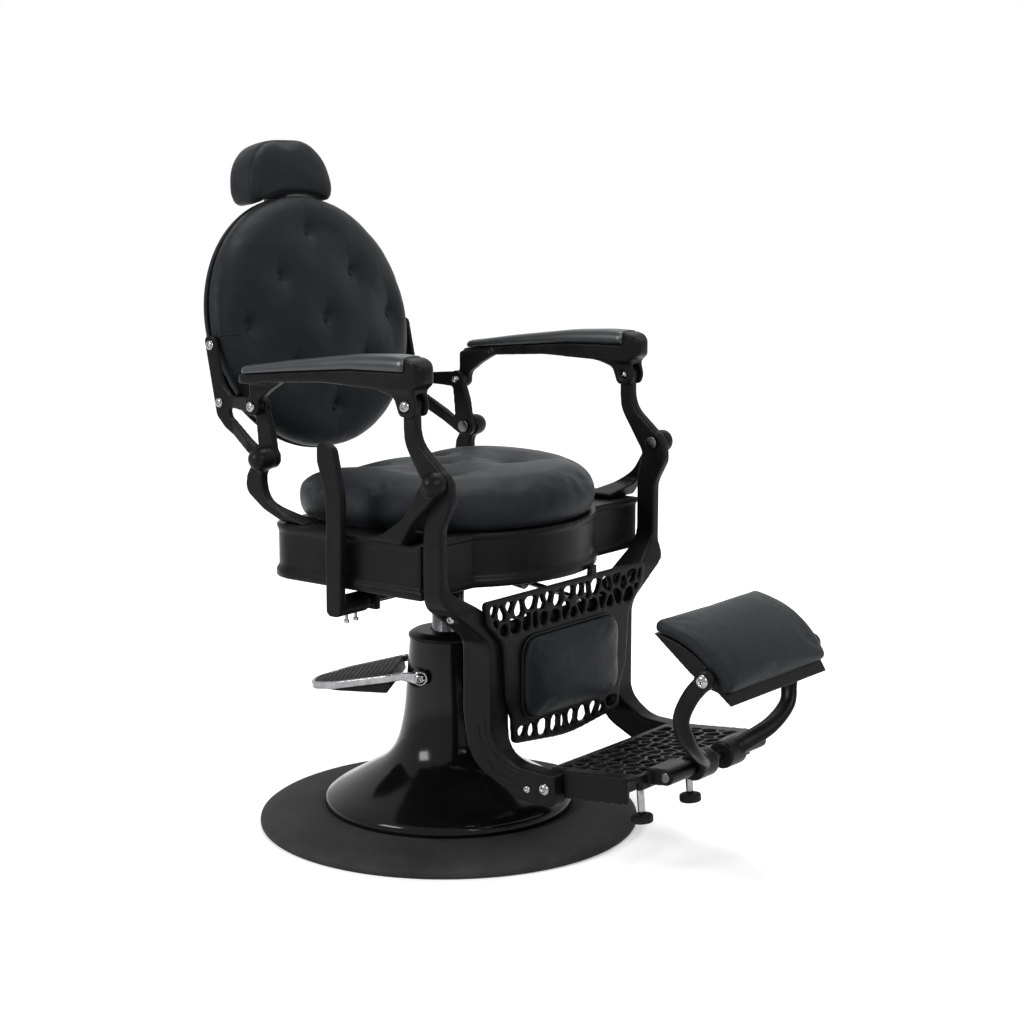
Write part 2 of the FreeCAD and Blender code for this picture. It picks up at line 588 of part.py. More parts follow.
keep(group("recline_pins", *(
    headed_pin(f"recline_pin_{name}", side, size("iron_inner") - 0.5, recline_y, recline_z,
               "Sizes.pin_radius",
               size("post_inner") + size("post_thick") - 2 - size("iron_inner"))
    for side, name in SIDES)), "recline_pins")
keep(group("knee_pins", *(
    headed_pin(f"knee_pin_{name}", side, size("crank_inner") - 0.5, knee_y, knee_z, "Sizes.pin_radius",
               size("crank_thick") + size("layer_gap") + 8)
    for side, name in SIDES)), "knee_pins")

# Back irons: side brackets with an open triangle between the recline ball, the arm pivot and the shell plate

arm_rear_y, arm_rear_z = size("arm_rear_y"), size("arm_rear_z")
lean = math.tan(math.radians(size("back_tilt")))
bolt_high, bolt_low = size("iron_bolt_high"), size("iron_bolt_low")


def plate_y(z):
    """Middle line of the plate that lies along the tilted shell."""
    return size("back_y") + (z - size("back_z")) * lean


plate_half = 12
plate_top, plate_foot = bolt_high + 16, bolt_low - 22
iron_line = [
    (plate_y(plate_top) - plate_half, plate_top, 10), (plate_y(plate_top) + plate_half, plate_top, 10),
    (plate_y(plate_foot) + plate_half, plate_foot, 14), (plate_y(plate_foot) - 8, plate_foot - 20, 16),
    (recline_y + 12, recline_z - 16, 6), (recline_y - 16, recline_z - 8, 8),
    (arm_rear_y - 26, recline_z + 50, 40),
    (arm_rear_y - 13, arm_rear_z, 0), (arm_rear_y + 2, arm_rear_z + 14, 8),
    (plate_y(arm_rear_z) - plate_half - 14, arm_rear_z + 8, 30),
    (plate_y(bolt_low + 30) - plate_half, bolt_low + 34, 24),
]
iron_window = [
    (arm_rear_y + 8, arm_rear_z - 14, 6), (plate_y(bolt_low) - plate_half - 8, arm_rear_z - 10, 6),
    (plate_y(plate_foot) - 22, plate_foot - 2, 8), (recline_y + 22, recline_z + 10, 6),
]
shell_ratio = size("back_half_width") / size("back_half_height")


def shell_half_width(z):
    """Half width of the oval shell where its edge passes height z."""
    rise = (z - size("back_z")) / math.cos(math.radians(size("back_tilt")))
    return shell_ratio * math.sqrt(size("back_half_height") ** 2 - rise ** 2)


def spacer_seat(z):
    """Inner end of a bolt spacer, let a little into the shell's edge."""
    return shell_half_width(z - 9) - 4


def iron_strip(side):
    """Plan-view strip of an iron: outer layer at the pivots, stepping in to the shell's side."""
    pivot_in, plate_in = size("iron_inner"), size("iron_plate_inner")
    pivot_out, plate_out = pivot_in + size("iron_thick"), plate_in + size("iron_plate_thick")
    step_start, step_end = arm_rear_y + 26, arm_rear_y + 68
    strip = [
        (pivot_out, 100, 0), (pivot_out, step_start + 4, 20), (plate_out, step_end + 4, 20),
        (plate_out, 400, 0),
        (plate_in, 400, 0), (plate_in, step_end, 20), (pivot_in, step_start, 20), (pivot_in, 100, 0),
    ]
    return [(side * x, y, bend) for x, y, bend in strip]


iron_bolts = []
plate_face = size("iron_plate_inner") + size("iron_plate_thick")
for side, name in SIDES:
    outline = side_slab(f"iron_side_{name}", side, [rounded(iron_line), rounded(iron_window)], "200", "120")
    strip = slab(f"iron_strip_{name}", "XY_Plane", [rounded(iron_strip(side))], "550", "350")
    plate = common(f"iron_plate_{name}", outline, strip)
    eyes = [
        cross_rod(f"iron_eye_recline_{name}", side, size("iron_inner"), recline_y, recline_z,
                  "Sizes.boss_eye - 2",
                  "Sizes.iron_thick"),
        cross_rod(f"iron_eye_arm_{name}", side, size("iron_inner"), arm_rear_y, arm_rear_z,
                  "Sizes.boss_eye - 4",
                  "Sizes.iron_thick"),
    ]
    spacers = []
    for k, z in enumerate((bolt_high, bolt_low)):
        seat = spacer_seat(z)
        spacers.append(cross_rod(f"iron_spacer_{k}_{name}", side, seat, plate_y(z), z, "9",
                                 f"{size('iron_plate_inner') - seat + 1}"))
        iron_bolts.append(cross_rod(f"iron_bolt_{k}_{name}", side, plate_face, plate_y(z), z,
                                    "Sizes.bolt_radius - 1", "Sizes.bolt_head"))
    holes = [
        cross_rod(f"iron_hole_recline_{name}", side, size("iron_inner") - 1, recline_y, recline_z,
                  "Sizes.pin_radius + Sizes.running_gap", "Sizes.iron_thick + 2"),
        cross_rod(f"iron_hole_arm_{name}", side, size("iron_inner") - 1, arm_rear_y, arm_rear_z,
                  "Sizes.small_pin_radius + Sizes.running_gap", "Sizes.iron_thick + 2"),
    ]
    keep(cut(f"back_iron_{name}", fuse(f"iron_joined_{name}", plate, *eyes, *spacers), *holes),
         f"back_iron_{name}")
keep(group("iron_bolts", *iron_bolts), "iron_bolts")

# Back: oval shell and tufted cushion, drawn flat and stood up at the back's tilt

back_place = Placement(Vector(0, size("back_y"), size("back_z")),
                       Rotation(Vector(1, 0, 0), 90 - size("back_tilt")))


def oval(grow):
    return [Part.Ellipse(Vector(0, 0, 0), size("back_half_width") + grow, size("back_half_height") + grow)]


shell_slab = slab("back_shell_slab", "XY_Plane", [oval(0)], "-Sizes.shell_rear",
                  "Sizes.shell_rear + Sizes.shell_front")
shell_round = soften("back_shell_round", shell_slab, size("shell_edge"),
                     lambda e: spread(e).ZMax < 1 - size("shell_rear"))
spacer_tools = [
    cross_rod(f"shell_seat_{k}_{name}", side, spacer_seat(z) - 0.3, plate_y(z), z, "9.1", "120")
    for side, name in SIDES for k, z in enumerate((bolt_high, bolt_low))
]
shell_round.Placement = back_place
keep(cut("back_shell", shell_round, *spacer_tools), "back_shell")

cushion_slab = slab("back_cushion_slab", "XY_Plane", [oval(-2)], "Sizes.shell_front",
                    "Sizes.back_crown - Sizes.shell_front + 1")
back_dome = ball("back_dome", Vector(0, 0, size("back_crown") - size("back_crown_radius")),
                 "Sizes.back_crown_radius")
cushion_domed = common("back_domed", cushion_slab, back_dome)
cushion_soft = soften("back_soft", cushion_domed, size("back_edge"),
                      lambda e: spread(e).ZMin > size("shell_front") + 2)
cushion_sewn = soften("back_sewn", cushion_soft, size("back_seam"),
                      lambda e: spread(e).ZMax < size("shell_front") + 1e-3)
across, step = size("back_tuft_x"), size("back_tuft_step")
back_tufts = [(0, 0), (0, 2 * step), (0, -2 * step), (2 * across, 0), (-2 * across, 0)]
back_tufts += [(sx * across, sy * step) for sx in (-1, 1) for sy in (-1, 1)]
back_pits, back_button_parts = [], []
for k, (x, y) in enumerate(back_tufts):
    floor = crowned(size("back_crown"), size("back_crown_radius"), x, y) - tuft_depth
    back_pits.append(ball(f"back_pit_{k}", Vector(x, y, floor + tuft_radius), "Sizes.tuft_radius"))
    button_low = floor + tuft_radius - math.sqrt(tuft_radius ** 2 - size("button_radius") ** 2)
    back_button_parts.append(cylinder(f"back_button_{k}", Vector(x, y, button_low + 0.1), Vector(0, 0, 1),
                                      "Sizes.button_radius", "Sizes.button_height"))
back_cushion = cut("back_cushion", cushion_sewn, *back_pits)
back_buttons = group("back_buttons", *back_button_parts)
for piece, label in ((back_cushion, "back_cushion"), (back_buttons, "back_buttons")):
    piece.Placement = back_place
    keep(piece, label)

# Headrest: saddle-bottomed pillow on a flat post that slides in a guide behind the shell

head_half, head_low, head_high = size("head_half_width"), size("head_low"), size("head_high")
pillow_line = [
    (-head_half, head_low, 0), (head_half, head_low, 0),
    (head_half, head_high, size("head_corner")), (-head_half, head_high, size("head_corner")),
]
head_depth = "Sizes.head_rear + Sizes.head_front"
pillow_slab = slab("head_slab", "XY_Plane", [rounded(pillow_line)], "-Sizes.head_rear", head_depth)
saddle = slab("head_saddle", "XY_Plane", [oval(size("head_gap"))], "-Sizes.head_rear - 1",
              head_depth + " + 2")
pillow_cut = cut("head_saddled", pillow_slab, saddle)
pillow_tips = soften("head_tips", pillow_cut, size("head_tip"),
                     lambda e: spread(e).ZLength > 1 and middle(e).y < head_low + 30)
pillow_soft = soften("head_soft", pillow_tips, size("head_edge"), lambda e: spread(e).ZLength < 1e-3)
post_half, post_back, post_thin = size("head_post_half"), size("head_post_rear"), size("head_post_thick")
post_top = head_high - 26
head_post = slab("headrest_post", "XY_Plane", [rounded([
    (-post_half, size("head_post_low"), 8), (post_half, size("head_post_low"), 8),
    (post_half, post_top, 8), (-post_half, post_top, 8)])], "-Sizes.head_post_rear", "Sizes.head_post_thick")
guide_wall, slide_gap = size("guide_wall"), size("slide_gap")
post_socket = box("head_socket", (-post_half - slide_gap, head_low, -post_back - slide_gap),
                  (post_half + slide_gap, post_top + slide_gap, -post_back + post_thin + slide_gap))
pillow = cut("headrest_cushion", pillow_soft, post_socket)
guide_half = post_half + slide_gap + guide_wall
guide_rear = post_back + slide_gap + guide_wall
guide_block = box("guide_block", (-guide_half, size("guide_low"), -guide_rear),
                  (guide_half, size("guide_high"), -size("shell_rear")))
guide_slot = box("guide_slot", (-post_half - slide_gap, size("guide_low") - 1, -post_back - slide_gap),
                 (post_half + slide_gap, size("guide_high") + 1, -post_back + post_thin + slide_gap))
head_guide = cut("headrest_guide", guide_block, guide_slot)
knob_y = (size("guide_low") + size("guide_high")) / 2
head_knob = cylinder("headrest_knob", Vector(0, knob_y, -guide_rear), Vector(0, 0, -1), "Sizes.knob_radius",
                     "Sizes.knob_length")
for piece, label in ((pillow, "headrest_cushion"), (head_post, "headrest_post"),
                     (head_guide, "headrest_guide"),
                     (head_knob, "headrest_knob")):
    piece.Placement = back_place.multiply(piece.Placement)
    keep(piece, label)

# Arms: cast beam with a rear drop to the back iron, a forked front drop over the crank eye, and a moulded pad

arm_front_y, arm_front_z = size("arm_front_y"), size("arm_front_z")
arm_low, arm_top, rear_end, front_end = (size(k) for k in ("arm_low", "arm_top", "arm_rear_end",
                                                           "arm_front_end"))
pad_end, pad_thick = size("arm_pad_end"), size("arm_pad_thick")
pad_seat = [(rear_end - 6, arm_top - 26, 0), (72, arm_top - 14, 200), (-60, arm_top - 2, 200),
            (pad_end, arm_top, 0)]
beam_line = pad_seat + [
    (pad_end, arm_top + pad_thick - 3, 3), (front_end + 14, arm_top + pad_thick - 8, 16),
    (front_end, arm_top + 6, 12),
    (front_end, arm_low + 10, 12), (front_end + 22, arm_low - 4, 12), (-110, arm_low - 3, 60),
    (0, arm_low, 200),
    (114, arm_low - 8, 60), (rear_end - 40, arm_low - 14, 10), (rear_end, arm_low - 14, 6),
    (rear_end, arm_top - 30, 6),
]
rear_drop = [
    (rear_end, arm_top - 32, 4), (120, arm_low + 2, 0), (114, arm_low - 8, 0), (146, arm_low - 26, 24),
    (arm_rear_y - 17, arm_rear_z + 12, 30), (arm_rear_y - 15, arm_rear_z, 0),
    (arm_rear_y + 15, arm_rear_z, 0),
    (rear_end, arm_rear_z + 14, 12),
]
front_drop = [
    (front_end + 14, arm_low + 14, 4), (-118, arm_low + 6, 0), (-112, arm_low - 3, 0),
    (-148, arm_low - 14, 20),
    (arm_front_y + 19, arm_front_z - 2, 12), (arm_front_y + 13, arm_front_z - 18, 10),
    (arm_front_y - 17, arm_front_z - 17, 10), (arm_front_y - 22, arm_front_z, 14),
    (front_end + 16, arm_low - 6, 8),
]
pad_line = [
    (rear_end - 6, arm_top - 25.8, 0), (rear_end - 14, arm_top - 12, 12), (72, arm_top + 4, 160),
    (-60, arm_top + 21, 200),
    (pad_end + 30, arm_top + pad_thick, 120), (pad_end + 0.3, arm_top + pad_thick - 3, 0),
    (pad_end + 0.3, arm_top + 0.2, 0), (-60, arm_top - 1.8, 200), (72, arm_top - 13.8, 200),
]


def pad_mid(y):
    """Height between the arm pad's seat and its top at side-view place y."""
    return arm_top + 6 - max(0, 0.09 * (y + 60))


eye_swing = size("boss_eye") + 1
arm_in, arm_out, arm_corner = size("arm_inner"), size("arm_inner") + size("arm_width"), size("arm_corner")
for side, name in SIDES:
    beam_side = side_slab(f"arm_side_{name}", side, [rounded(beam_line)], "Sizes.arm_inner",
                          "Sizes.arm_width")
    beam_plan = slab(f"arm_plan_{name}", "XY_Plane", [rounded([
        (side * x, y, arm_corner) for x, y in ((arm_in, front_end), (arm_out, front_end),
                                               (arm_out, rear_end), (arm_in, rear_end))])], "700", "200")
    beam = common(f"arm_beam_{name}", beam_side, beam_plan)
    drop = side_slab(f"arm_rear_drop_{name}", side, [rounded(rear_drop)], "Sizes.post_inner",
                     "Sizes.post_thick")
    rear_eye = cross_rod(f"arm_rear_eye_{name}", side, size("post_inner"), arm_rear_y, arm_rear_z,
                         "Sizes.boss_eye - 4", "Sizes.post_thick")
    fork = side_slab(f"arm_fork_{name}", side, [rounded(front_drop)], "Sizes.arm_clevis_inner",
                     "Sizes.arm_clevis_width")
    slot_inner = size("crank_inner") - size("clevis_side_gap")
    slot_outer = slot_inner + size("crank_thick") + 2 * size("clevis_side_gap")
    slot_x = sorted((side * slot_inner, side * slot_outer))
    slot = box(f"arm_slot_{name}", (slot_x[0], front_end - 1, arm_front_z - 40),
               (slot_x[1], arm_front_y + 60, arm_front_z + eye_swing - 3))
    holes = [
        cross_rod(f"arm_rear_hole_{name}", side, size("post_inner") - 1, arm_rear_y, arm_rear_z,
                  "Sizes.small_pin_radius", "Sizes.post_thick + 2"),
        cross_rod(f"arm_front_hole_{name}", side, size("arm_clevis_inner") - 1, arm_front_y, arm_front_z,
                  "Sizes.small_pin_radius", "Sizes.arm_clevis_width + 2"),
    ]
    arm = fuse(f"arm_joined_{name}", beam, drop, rear_eye, fork)
    keep(cut(f"arm_frame_{name}", arm, slot, *holes), f"arm_frame_{name}")
    pad = side_slab(f"arm_pad_slab_{name}", side, [rounded(pad_line)], "Sizes.arm_inner - Sizes.arm_pad_over",
                    "Sizes.arm_width + 2 * Sizes.arm_pad_over")
    pad = soften(f"arm_pad_{name}", pad, size("arm_pad_edge"),
                 lambda e: spread(e).XLength < 1e-3 and middle(e).z > pad_mid(middle(e).y))
    keep(pad, f"arm_pad_{name}")
    rear_pin = headed_pin(f"arm_rear_pin_{name}", side, size("iron_inner") - 0.3, arm_rear_y, arm_rear_z,
                          "Sizes.small_pin_radius", size("post_inner") + size("post_thick") - size("iron_inner"))
    front_shank = cross_rod(f"arm_front_shank_{name}", side, size("arm_clevis_inner") + 2, arm_front_y,
                            arm_front_z,
                            "Sizes.small_pin_radius", "Sizes.arm_clevis_width - 2")
    front_head = cross_rod(f"arm_front_head_{name}", side,
                           size("arm_clevis_inner") + size("arm_clevis_width"),
                           arm_front_y, arm_front_z, "Sizes.bolt_radius", "Sizes.bolt_head")
    keep(group(f"arm_pins_{name}", rear_pin, fuse(f"arm_front_pin_{name}", front_shank, front_head)),
         f"arm_pins_{name}")

# Leg frame: a bell-crank casting each side, from the arm fork over the knee pivot down to the footrest toe

leg_front, leg_rear, toe_end = size("leg_front"), size("leg_rear"), size("toe_end")
toe_low, toe_high, jog_high, jog_low = (size(k) for k in ("toe_low", "toe_high", "jog_high", "jog_low"))
post_front, post_rear = size("post_front"), size("post_rear")
crank_inner, crank_out = size("crank_inner"), size("crank_inner") + size("crank_thick")
leg_line = [
    (arm_front_y - 12, arm_front_z, 0), (arm_front_y - 14, arm_front_z - 54, 50),
    (knee_y - 22, knee_z + 6, 24),
    (knee_y - 26, knee_z - 30, 24), (post_front, knee_z - 72, 50), (post_front, jog_high + 16, 20),
    (leg_front, jog_high - 14, 20), (leg_front, toe_high + 34, 60), (leg_front - 46, toe_high + 4, 60),
    (toe_end, toe_high, 4), (toe_end, toe_low, 8), (leg_rear - 112, toe_low, 90),
    (leg_rear - 14, toe_low + 46, 70),
    (leg_rear, toe_low + 120, 60), (leg_rear, jog_low - 4, 20), (post_rear, jog_high, 20),
    (post_rear, knee_z - 62, 30), (knee_y + 22, knee_z - 18, 20), (arm_front_y + 12, arm_front_z - 58, 60),
    (arm_front_y + 12, arm_front_z, 0),
]
crank_eye = "Sizes.boss_eye - 5"


def leg_profile(side):
    """Front-view strip of the casting: outer post, inward jog below the seat, lower post, slim toe."""
    strip = [
        (crank_out, arm_front_z + 40, 0), (crank_out, jog_high - 6, 36), (size("leg_outer"), jog_low, 40),
        (size("leg_outer"), toe_low - 10, 0), (size("toe_inner"), toe_low - 10, 0),
        (size("toe_inner"), toe_high + 16, 16), (size("leg_inner"), toe_high + 46, 16),
        (size("leg_inner"), jog_low + 18, 30), (crank_inner, jog_high + 20, 40),
        (crank_inner, arm_front_z + 40, 0),
    ]
    return [(side * x, z, bend) for x, z, bend in strip]


for side, name in SIDES:
    leg = common(f"leg_strip_{name}", side_slab(f"leg_side_{name}", side, [rounded(leg_line)], "100", "260"),
                 front_slab(f"leg_front_{name}", [rounded(leg_profile(side))], "-420", "320"))
    eyes = [
        cross_rod(f"leg_eye_arm_{name}", side, crank_inner, arm_front_y, arm_front_z, crank_eye,
                  "Sizes.crank_thick"),
        cross_rod(f"leg_eye_knee_{name}", side, crank_inner, knee_y, knee_z, "Sizes.boss_eye",
                  "Sizes.crank_thick"),
    ]
    holes = [
        cross_rod(f"leg_hole_arm_{name}", side, crank_inner - 1, arm_front_y, arm_front_z,
                  "Sizes.small_pin_radius + Sizes.front_pin_slack", "Sizes.crank_thick + 2"),
        cross_rod(f"leg_hole_knee_{name}", side, crank_inner - 1, knee_y, knee_z,
                  "Sizes.pin_radius + Sizes.running_gap", "Sizes.crank_thick + 2"),
        cross_rod(f"leg_spot_{name}", side, size("spot_face"), size("spot_y"), size("spot_z"),
                  "Sizes.bolt_radius + 1",
                  "60"),
    ]
    keep(cut(f"leg_casting_{name}", fuse(f"leg_joined_{name}", leg, *eyes), *holes), f"leg_casting_{name}")

# Calf panel: openwork plate on the front of the legs, pierced by a pebble mosaic above and below its pad

panel_high, panel_low = size("panel_high"), size("panel_low")
top_half, waist, foot_half = size("panel_top_half"), size("panel_waist_half"), size("panel_foot_half")
calf_high, calf_low, calf_half = size("calf_high"), size("calf_low"), size("calf_half_width")
panel_half_line = [
    (top_half, panel_high, 8), (top_half - 8, panel_high - 38, 20), (waist, calf_high - 6, 30),
    (waist - 8, panel_low + 84, 30), (size("leg_inner") - 1, panel_low + 50, 20),
    (foot_half, panel_low + 8, 10),
]
panel_line = panel_half_line + [(0, panel_low - 8, 400)] + [(-x, z, bend) for x, z,
                                                            bend in panel_half_line[::-1]]
pitch, web = size("pebble_pitch"), size("pebble_web")
upper_half = [(top_half - 12, panel_high - 8), (top_half - 18, panel_high - 36), (waist + 4, calf_high + 8)]
lower_half = [(foot_half - 8, calf_low - 6), (foot_half - 10, panel_low + 18), (foot_half / 2, panel_low + 6)]
openings = []
for edge in (upper_half, lower_half):
    openings += mosaic([(-x, z) for x, z in edge] + edge[::-1], pitch, web, True)
stop_inner = size("stop_tab_inner")
stop_tab = box("panel_stop", (stop_inner, leg_front - size("panel_thick"), panel_high - 6),
               (stop_inner + size("stop_tab_width"), leg_front, panel_high + 16))
panel = front_slab("calf_panel_plate", [rounded(panel_line)] + openings,
                   "Sizes.leg_front - Sizes.panel_thick",
                   "Sizes.panel_thick")
keep(fuse("calf_panel", panel, stop_tab), "calf_panel")

panel_front = leg_front - size("panel_thick")
calf_line = [(sx * calf_half, z, size("calf_corner")) for sx, z in
             ((-1, calf_low), (1, calf_low), (1, calf_high), (-1, calf_high))]
calf_slab = front_slab("calf_slab", [rounded(calf_line)],
                       "Sizes.leg_front - Sizes.panel_thick - Sizes.calf_thick",
                       "Sizes.calf_thick")
calf_crown = size("calf_crown_radius")
calf_dome = ball("calf_dome", Vector(0, panel_front - size("calf_thick") + calf_crown,
                                     (calf_low + calf_high) / 2), "Sizes.calf_crown_radius")
keep(soften("calf_pad", common("calf_crowned", calf_slab, calf_dome), size("calf_edge"),
            lambda e: spread(e).YMax < panel_front - 4 and spread(e).YLength < size("calf_thick") / 2),
            "calf_pad")

crossbar_z, crossbar_half = size("crossbar_z"), size("crossbar_half")
lug_inner = size("gas_x") + size("gas_eye_width") / 2 + size("layer_gap")
lug_out = lug_inner + size("gas_lug_thick")
bar_block = box("crossbar_block", (-size("leg_inner"), leg_front, crossbar_z - crossbar_half),
                (size("leg_inner"), leg_front + size("crossbar_deep"), crossbar_z + crossbar_half))
gas_lug = box("crossbar_lug", (lug_inner, leg_front, crossbar_z - crossbar_half),
              (lug_out, size("gas_leg_y") + 12, crossbar_z + crossbar_half))
keep(fuse("leg_crossbar", bar_block, gas_lug), "leg_crossbar")

spot_face, spot_y, spot_z = size("spot_face"), size("spot_y"), size("spot_z")
panel_bolts = [
    cross_rod(f"panel_bolt_{name}", side, spot_face, spot_y, spot_z, "Sizes.bolt_radius - 2",
              "Sizes.bolt_head + 3")
    for side, name in SIDES
]
keep(group("panel_bolts", *panel_bolts), "panel_bolts")
toe_bolts = [
    cross_rod(f"toe_bolt_{k}_{name}", side, size("leg_outer"), toe_end + out, (toe_low + toe_high) / 2 + up,
              radius,
              "Sizes.bolt_head")
    for side, name in SIDES
    for k, (out, up, radius) in enumerate(((20, 2, "Sizes.bolt_radius"), (54, -4, "Sizes.bolt_radius - 3")))
]
keep(group("toe_bolts", *toe_bolts), "toe_bolts")

# Footrest: pierced tread plate with deep side skirts, drawn level and tilted up towards its front hinge

tread_half, tread_depth, tread_thick = size("tread_half_width"), size("tread_depth"), size("tread_thick")
tread_skirt, tread_wall = size("tread_skirt"), size("tread_wall")
yoke_y = size("tread_rear") - tread_depth - size("hinge_out")
tread_lean = Rotation(Vector(1, 0, 0), -size("tread_tilt"))
tread_place = Placement(Vector(0, size("tread_rear"), size("tread_top")), tread_lean)
rear_half = size("toe_inner") - size("layer_gap")
toe_gap = toe_end - size("tread_rear") - 1
tread_plan = [
    (-rear_half, 0, 3), (rear_half, 0, 3), (rear_half, toe_gap, 2), (tread_half, toe_gap, 2),
    (tread_half, 16 - tread_depth, 4), (tread_half - 18, -tread_depth, 4), (18 - tread_half, -tread_depth, 4),
    (-tread_half, 16 - tread_depth, 4), (-tread_half, toe_gap, 2), (-rear_half, toe_gap, 2),
]
tread_edge = rear_half - 12
tread_region = [(-tread_edge, 14 - tread_depth), (tread_edge, 14 - tread_depth), (tread_edge, -14),
                (-tread_edge, -14)]
tread_openings = mosaic(tread_region, size("tread_pebble"), web, False)
tread_plate = slab("tread_plate", "XY_Plane", [rounded(tread_plan)] + tread_openings, "-Sizes.tread_thick",
                   "Sizes.tread_thick")
hinge_local = tread_place.inverse().multVec(Vector(0, yoke_y, size("yoke_z")))
lug_radius = size("yoke_rod_radius") + 5
hinge_in, hinge_thick = size("hinge_lug_inner"), size("hinge_lug_thick")
tread_parts = [
    tread_plate,
    box("tread_rear_bar", (-rear_half, -tread_wall, -30), (rear_half, 0, -tread_thick + 1)),
    box("tread_front_bar", (18 - tread_half, -tread_depth, -24),
        (tread_half - 18, tread_wall - tread_depth, 1 - tread_thick)),
    box("tread_bumper_bar", (tread_wall - tread_half, size("bumper_y") - size("tread_rear") - 10,
                             -tread_skirt),
        (tread_half - tread_wall, size("bumper_y") - size("tread_rear") + 10, 1 - tread_thick)),
]


def tread_block(label, side, name, inner, outer, low, high):
    """Block on one side of the tread, inner to outer off the middle, between (y, z) corners."""
    low_x, high_x = sorted((side * inner, side * outer))
    return box(f"tread_{label}_{name}", (low_x, *low), (high_x, *high))


for side, name in SIDES:
    under = 1 - tread_thick
    tread_parts += [
        tread_block("skirt", side, name, tread_half - tread_wall, tread_half,
                    (16 - tread_depth, -tread_skirt),
                    (toe_gap, under)),
        tread_block("tongue", side, name, rear_half - size("tongue_thick"), rear_half, (-60, -tread_skirt),
                    (34, under)),
        tread_block("lug", side, name, hinge_in, hinge_in + hinge_thick,
                    (hinge_local.y, hinge_local.z - lug_radius),
                    (4 - tread_depth, hinge_local.z + lug_radius)),
        cylinder(f"tread_knuckle_{name}", Vector(side * hinge_in, hinge_local.y, hinge_local.z),
                 Vector(side, 0, 0),
                 f"{lug_radius}", "Sizes.hinge_lug_thick"),
    ]
hinge_bore = cylinder("tread_bore", Vector(-tread_half, hinge_local.y, hinge_local.z), Vector(1, 0, 0),
                      "Sizes.yoke_rod_radius + Sizes.running_gap", "2 * Sizes.tread_half_width")
footrest = cut("footrest", fuse("footrest_joined", *tread_parts), hinge_bore)
footrest.Placement = tread_place
keep(footrest, "footrest")

bar_foot = tread_place.multVec(Vector(0, size("bumper_y") - size("tread_rear"), -tread_skirt))
stems = [
    cylinder(f"bumper_stem_{name}", Vector(side * size("bumper_x"), bar_foot.y, bar_foot.z), Vector(0, 0, -1),
             "Sizes.bumper_stem_radius", "Sizes.bumper_stem")
    for side, name in SIDES
]
for stem in stems:
    stem.Placement = Placement(stem.Placement.Base, tread_lean.multiply(Rotation(Vector(1, 0, 0), 180)))
feet = []
for stem in stems:
    foot = cylinder(stem.Name + "_foot", Vector(), Vector(0, 0, 1), "Sizes.bumper_radius",
                    "Sizes.bumper_thick")
    foot.Placement = stem.Placement.multiply(Placement(Vector(0, 0, size("bumper_stem")), Rotation()))
    feet.append(foot)
keep(group("bumper_stems", *stems), "bumper_stems")
keep(group("bumper_feet", *(soften(f.Name + "_round", f, 4, lambda e: spread(e).ZLength < 8) for f in feet)),
     "bumper_feet")

# Yoke: two curved arms on a hinge rod, flaring outwards to the foot pad's pivots

yoke_z, pad_z = size("yoke_z"), size("pad_z")
pad_y = yoke_y - size("pad_out")
yoke_half = size("yoke_bar") / 2
yoke_line = [
    (yoke_y + 2, yoke_z + 20, 0), (yoke_y - 22, yoke_z + 44, 24), (pad_y + 57, pad_z - 54, 40),
    (pad_y + 12, pad_z + 9, 0),
    (pad_y - 12, pad_z - 9, 0), (pad_y + 29, pad_z - 64, 30), (yoke_y - 52, yoke_z + 40, 40),
    (yoke_y - 14, yoke_z - 16, 0),
]
yoke_inner, yoke_out = size("yoke_inner"), size("yoke_inner") + size("yoke_width")
lug_in = size("pad_half_width") + size("pad_lug_gap")
pad_lug_out = lug_in + size("pad_lug_thick")


def yoke_profile(side):
    """Front-view strip of an arm: straight at the hinge, then out to the pad's side."""
    strip = [
        (yoke_inner, yoke_z - 40, 0), (yoke_inner, yoke_z + 34, 10), (lug_in - 16, yoke_z + 72, 30),
        (lug_in, pad_z - 56, 30), (lug_in, pad_z + 30, 0), (pad_lug_out, pad_z + 30, 0),
        (pad_lug_out, pad_z - 26, 20), (lug_in + 26, pad_z - 80, 40), (lug_in + 14, yoke_z + 48, 30),
        (yoke_out, yoke_z + 27, 10), (yoke_out, yoke_z - 40, 0),
    ]
    return [(side * x, z, bend) for x, z, bend in strip]


for side, name in SIDES:
    arm = common(f"yoke_strip_{name}", side_slab(f"yoke_side_{name}", side, [rounded(yoke_line)], "1", "220"),
                 front_slab(f"yoke_front_{name}", [rounded(yoke_profile(side))], f"{pad_y - 100}", "300"))
    ends = [
        cross_rod(f"yoke_hub_{name}", side, yoke_inner, yoke_y, yoke_z, "Sizes.yoke_hub", "Sizes.yoke_width"),
        cross_rod(f"yoke_lug_{name}", side, lug_in, pad_y, pad_z, f"{yoke_half + 1}", "Sizes.pad_lug_thick"),
    ]
    holes = [
        cross_rod(f"yoke_hub_hole_{name}", side, yoke_inner - 1, yoke_y, yoke_z, "Sizes.yoke_rod_radius",
                  "Sizes.yoke_width + 2"),
        cross_rod(f"yoke_lug_hole_{name}", side, lug_in - 1, pad_y, pad_z, "Sizes.small_pin_radius",
                  "Sizes.pad_lug_thick + 2"),
    ]
    keep(cut(f"yoke_arm_{name}", fuse(f"yoke_joined_{name}", arm, *ends), *holes), f"yoke_arm_{name}")
rod_half = hinge_in + hinge_thick
keep(cylinder("yoke_rod", Vector(-rod_half, yoke_y, yoke_z), Vector(1, 0, 0), "Sizes.yoke_rod_radius",
              f"{2 * rod_half}"), "yoke_rod")
pad_bolt_parts = []
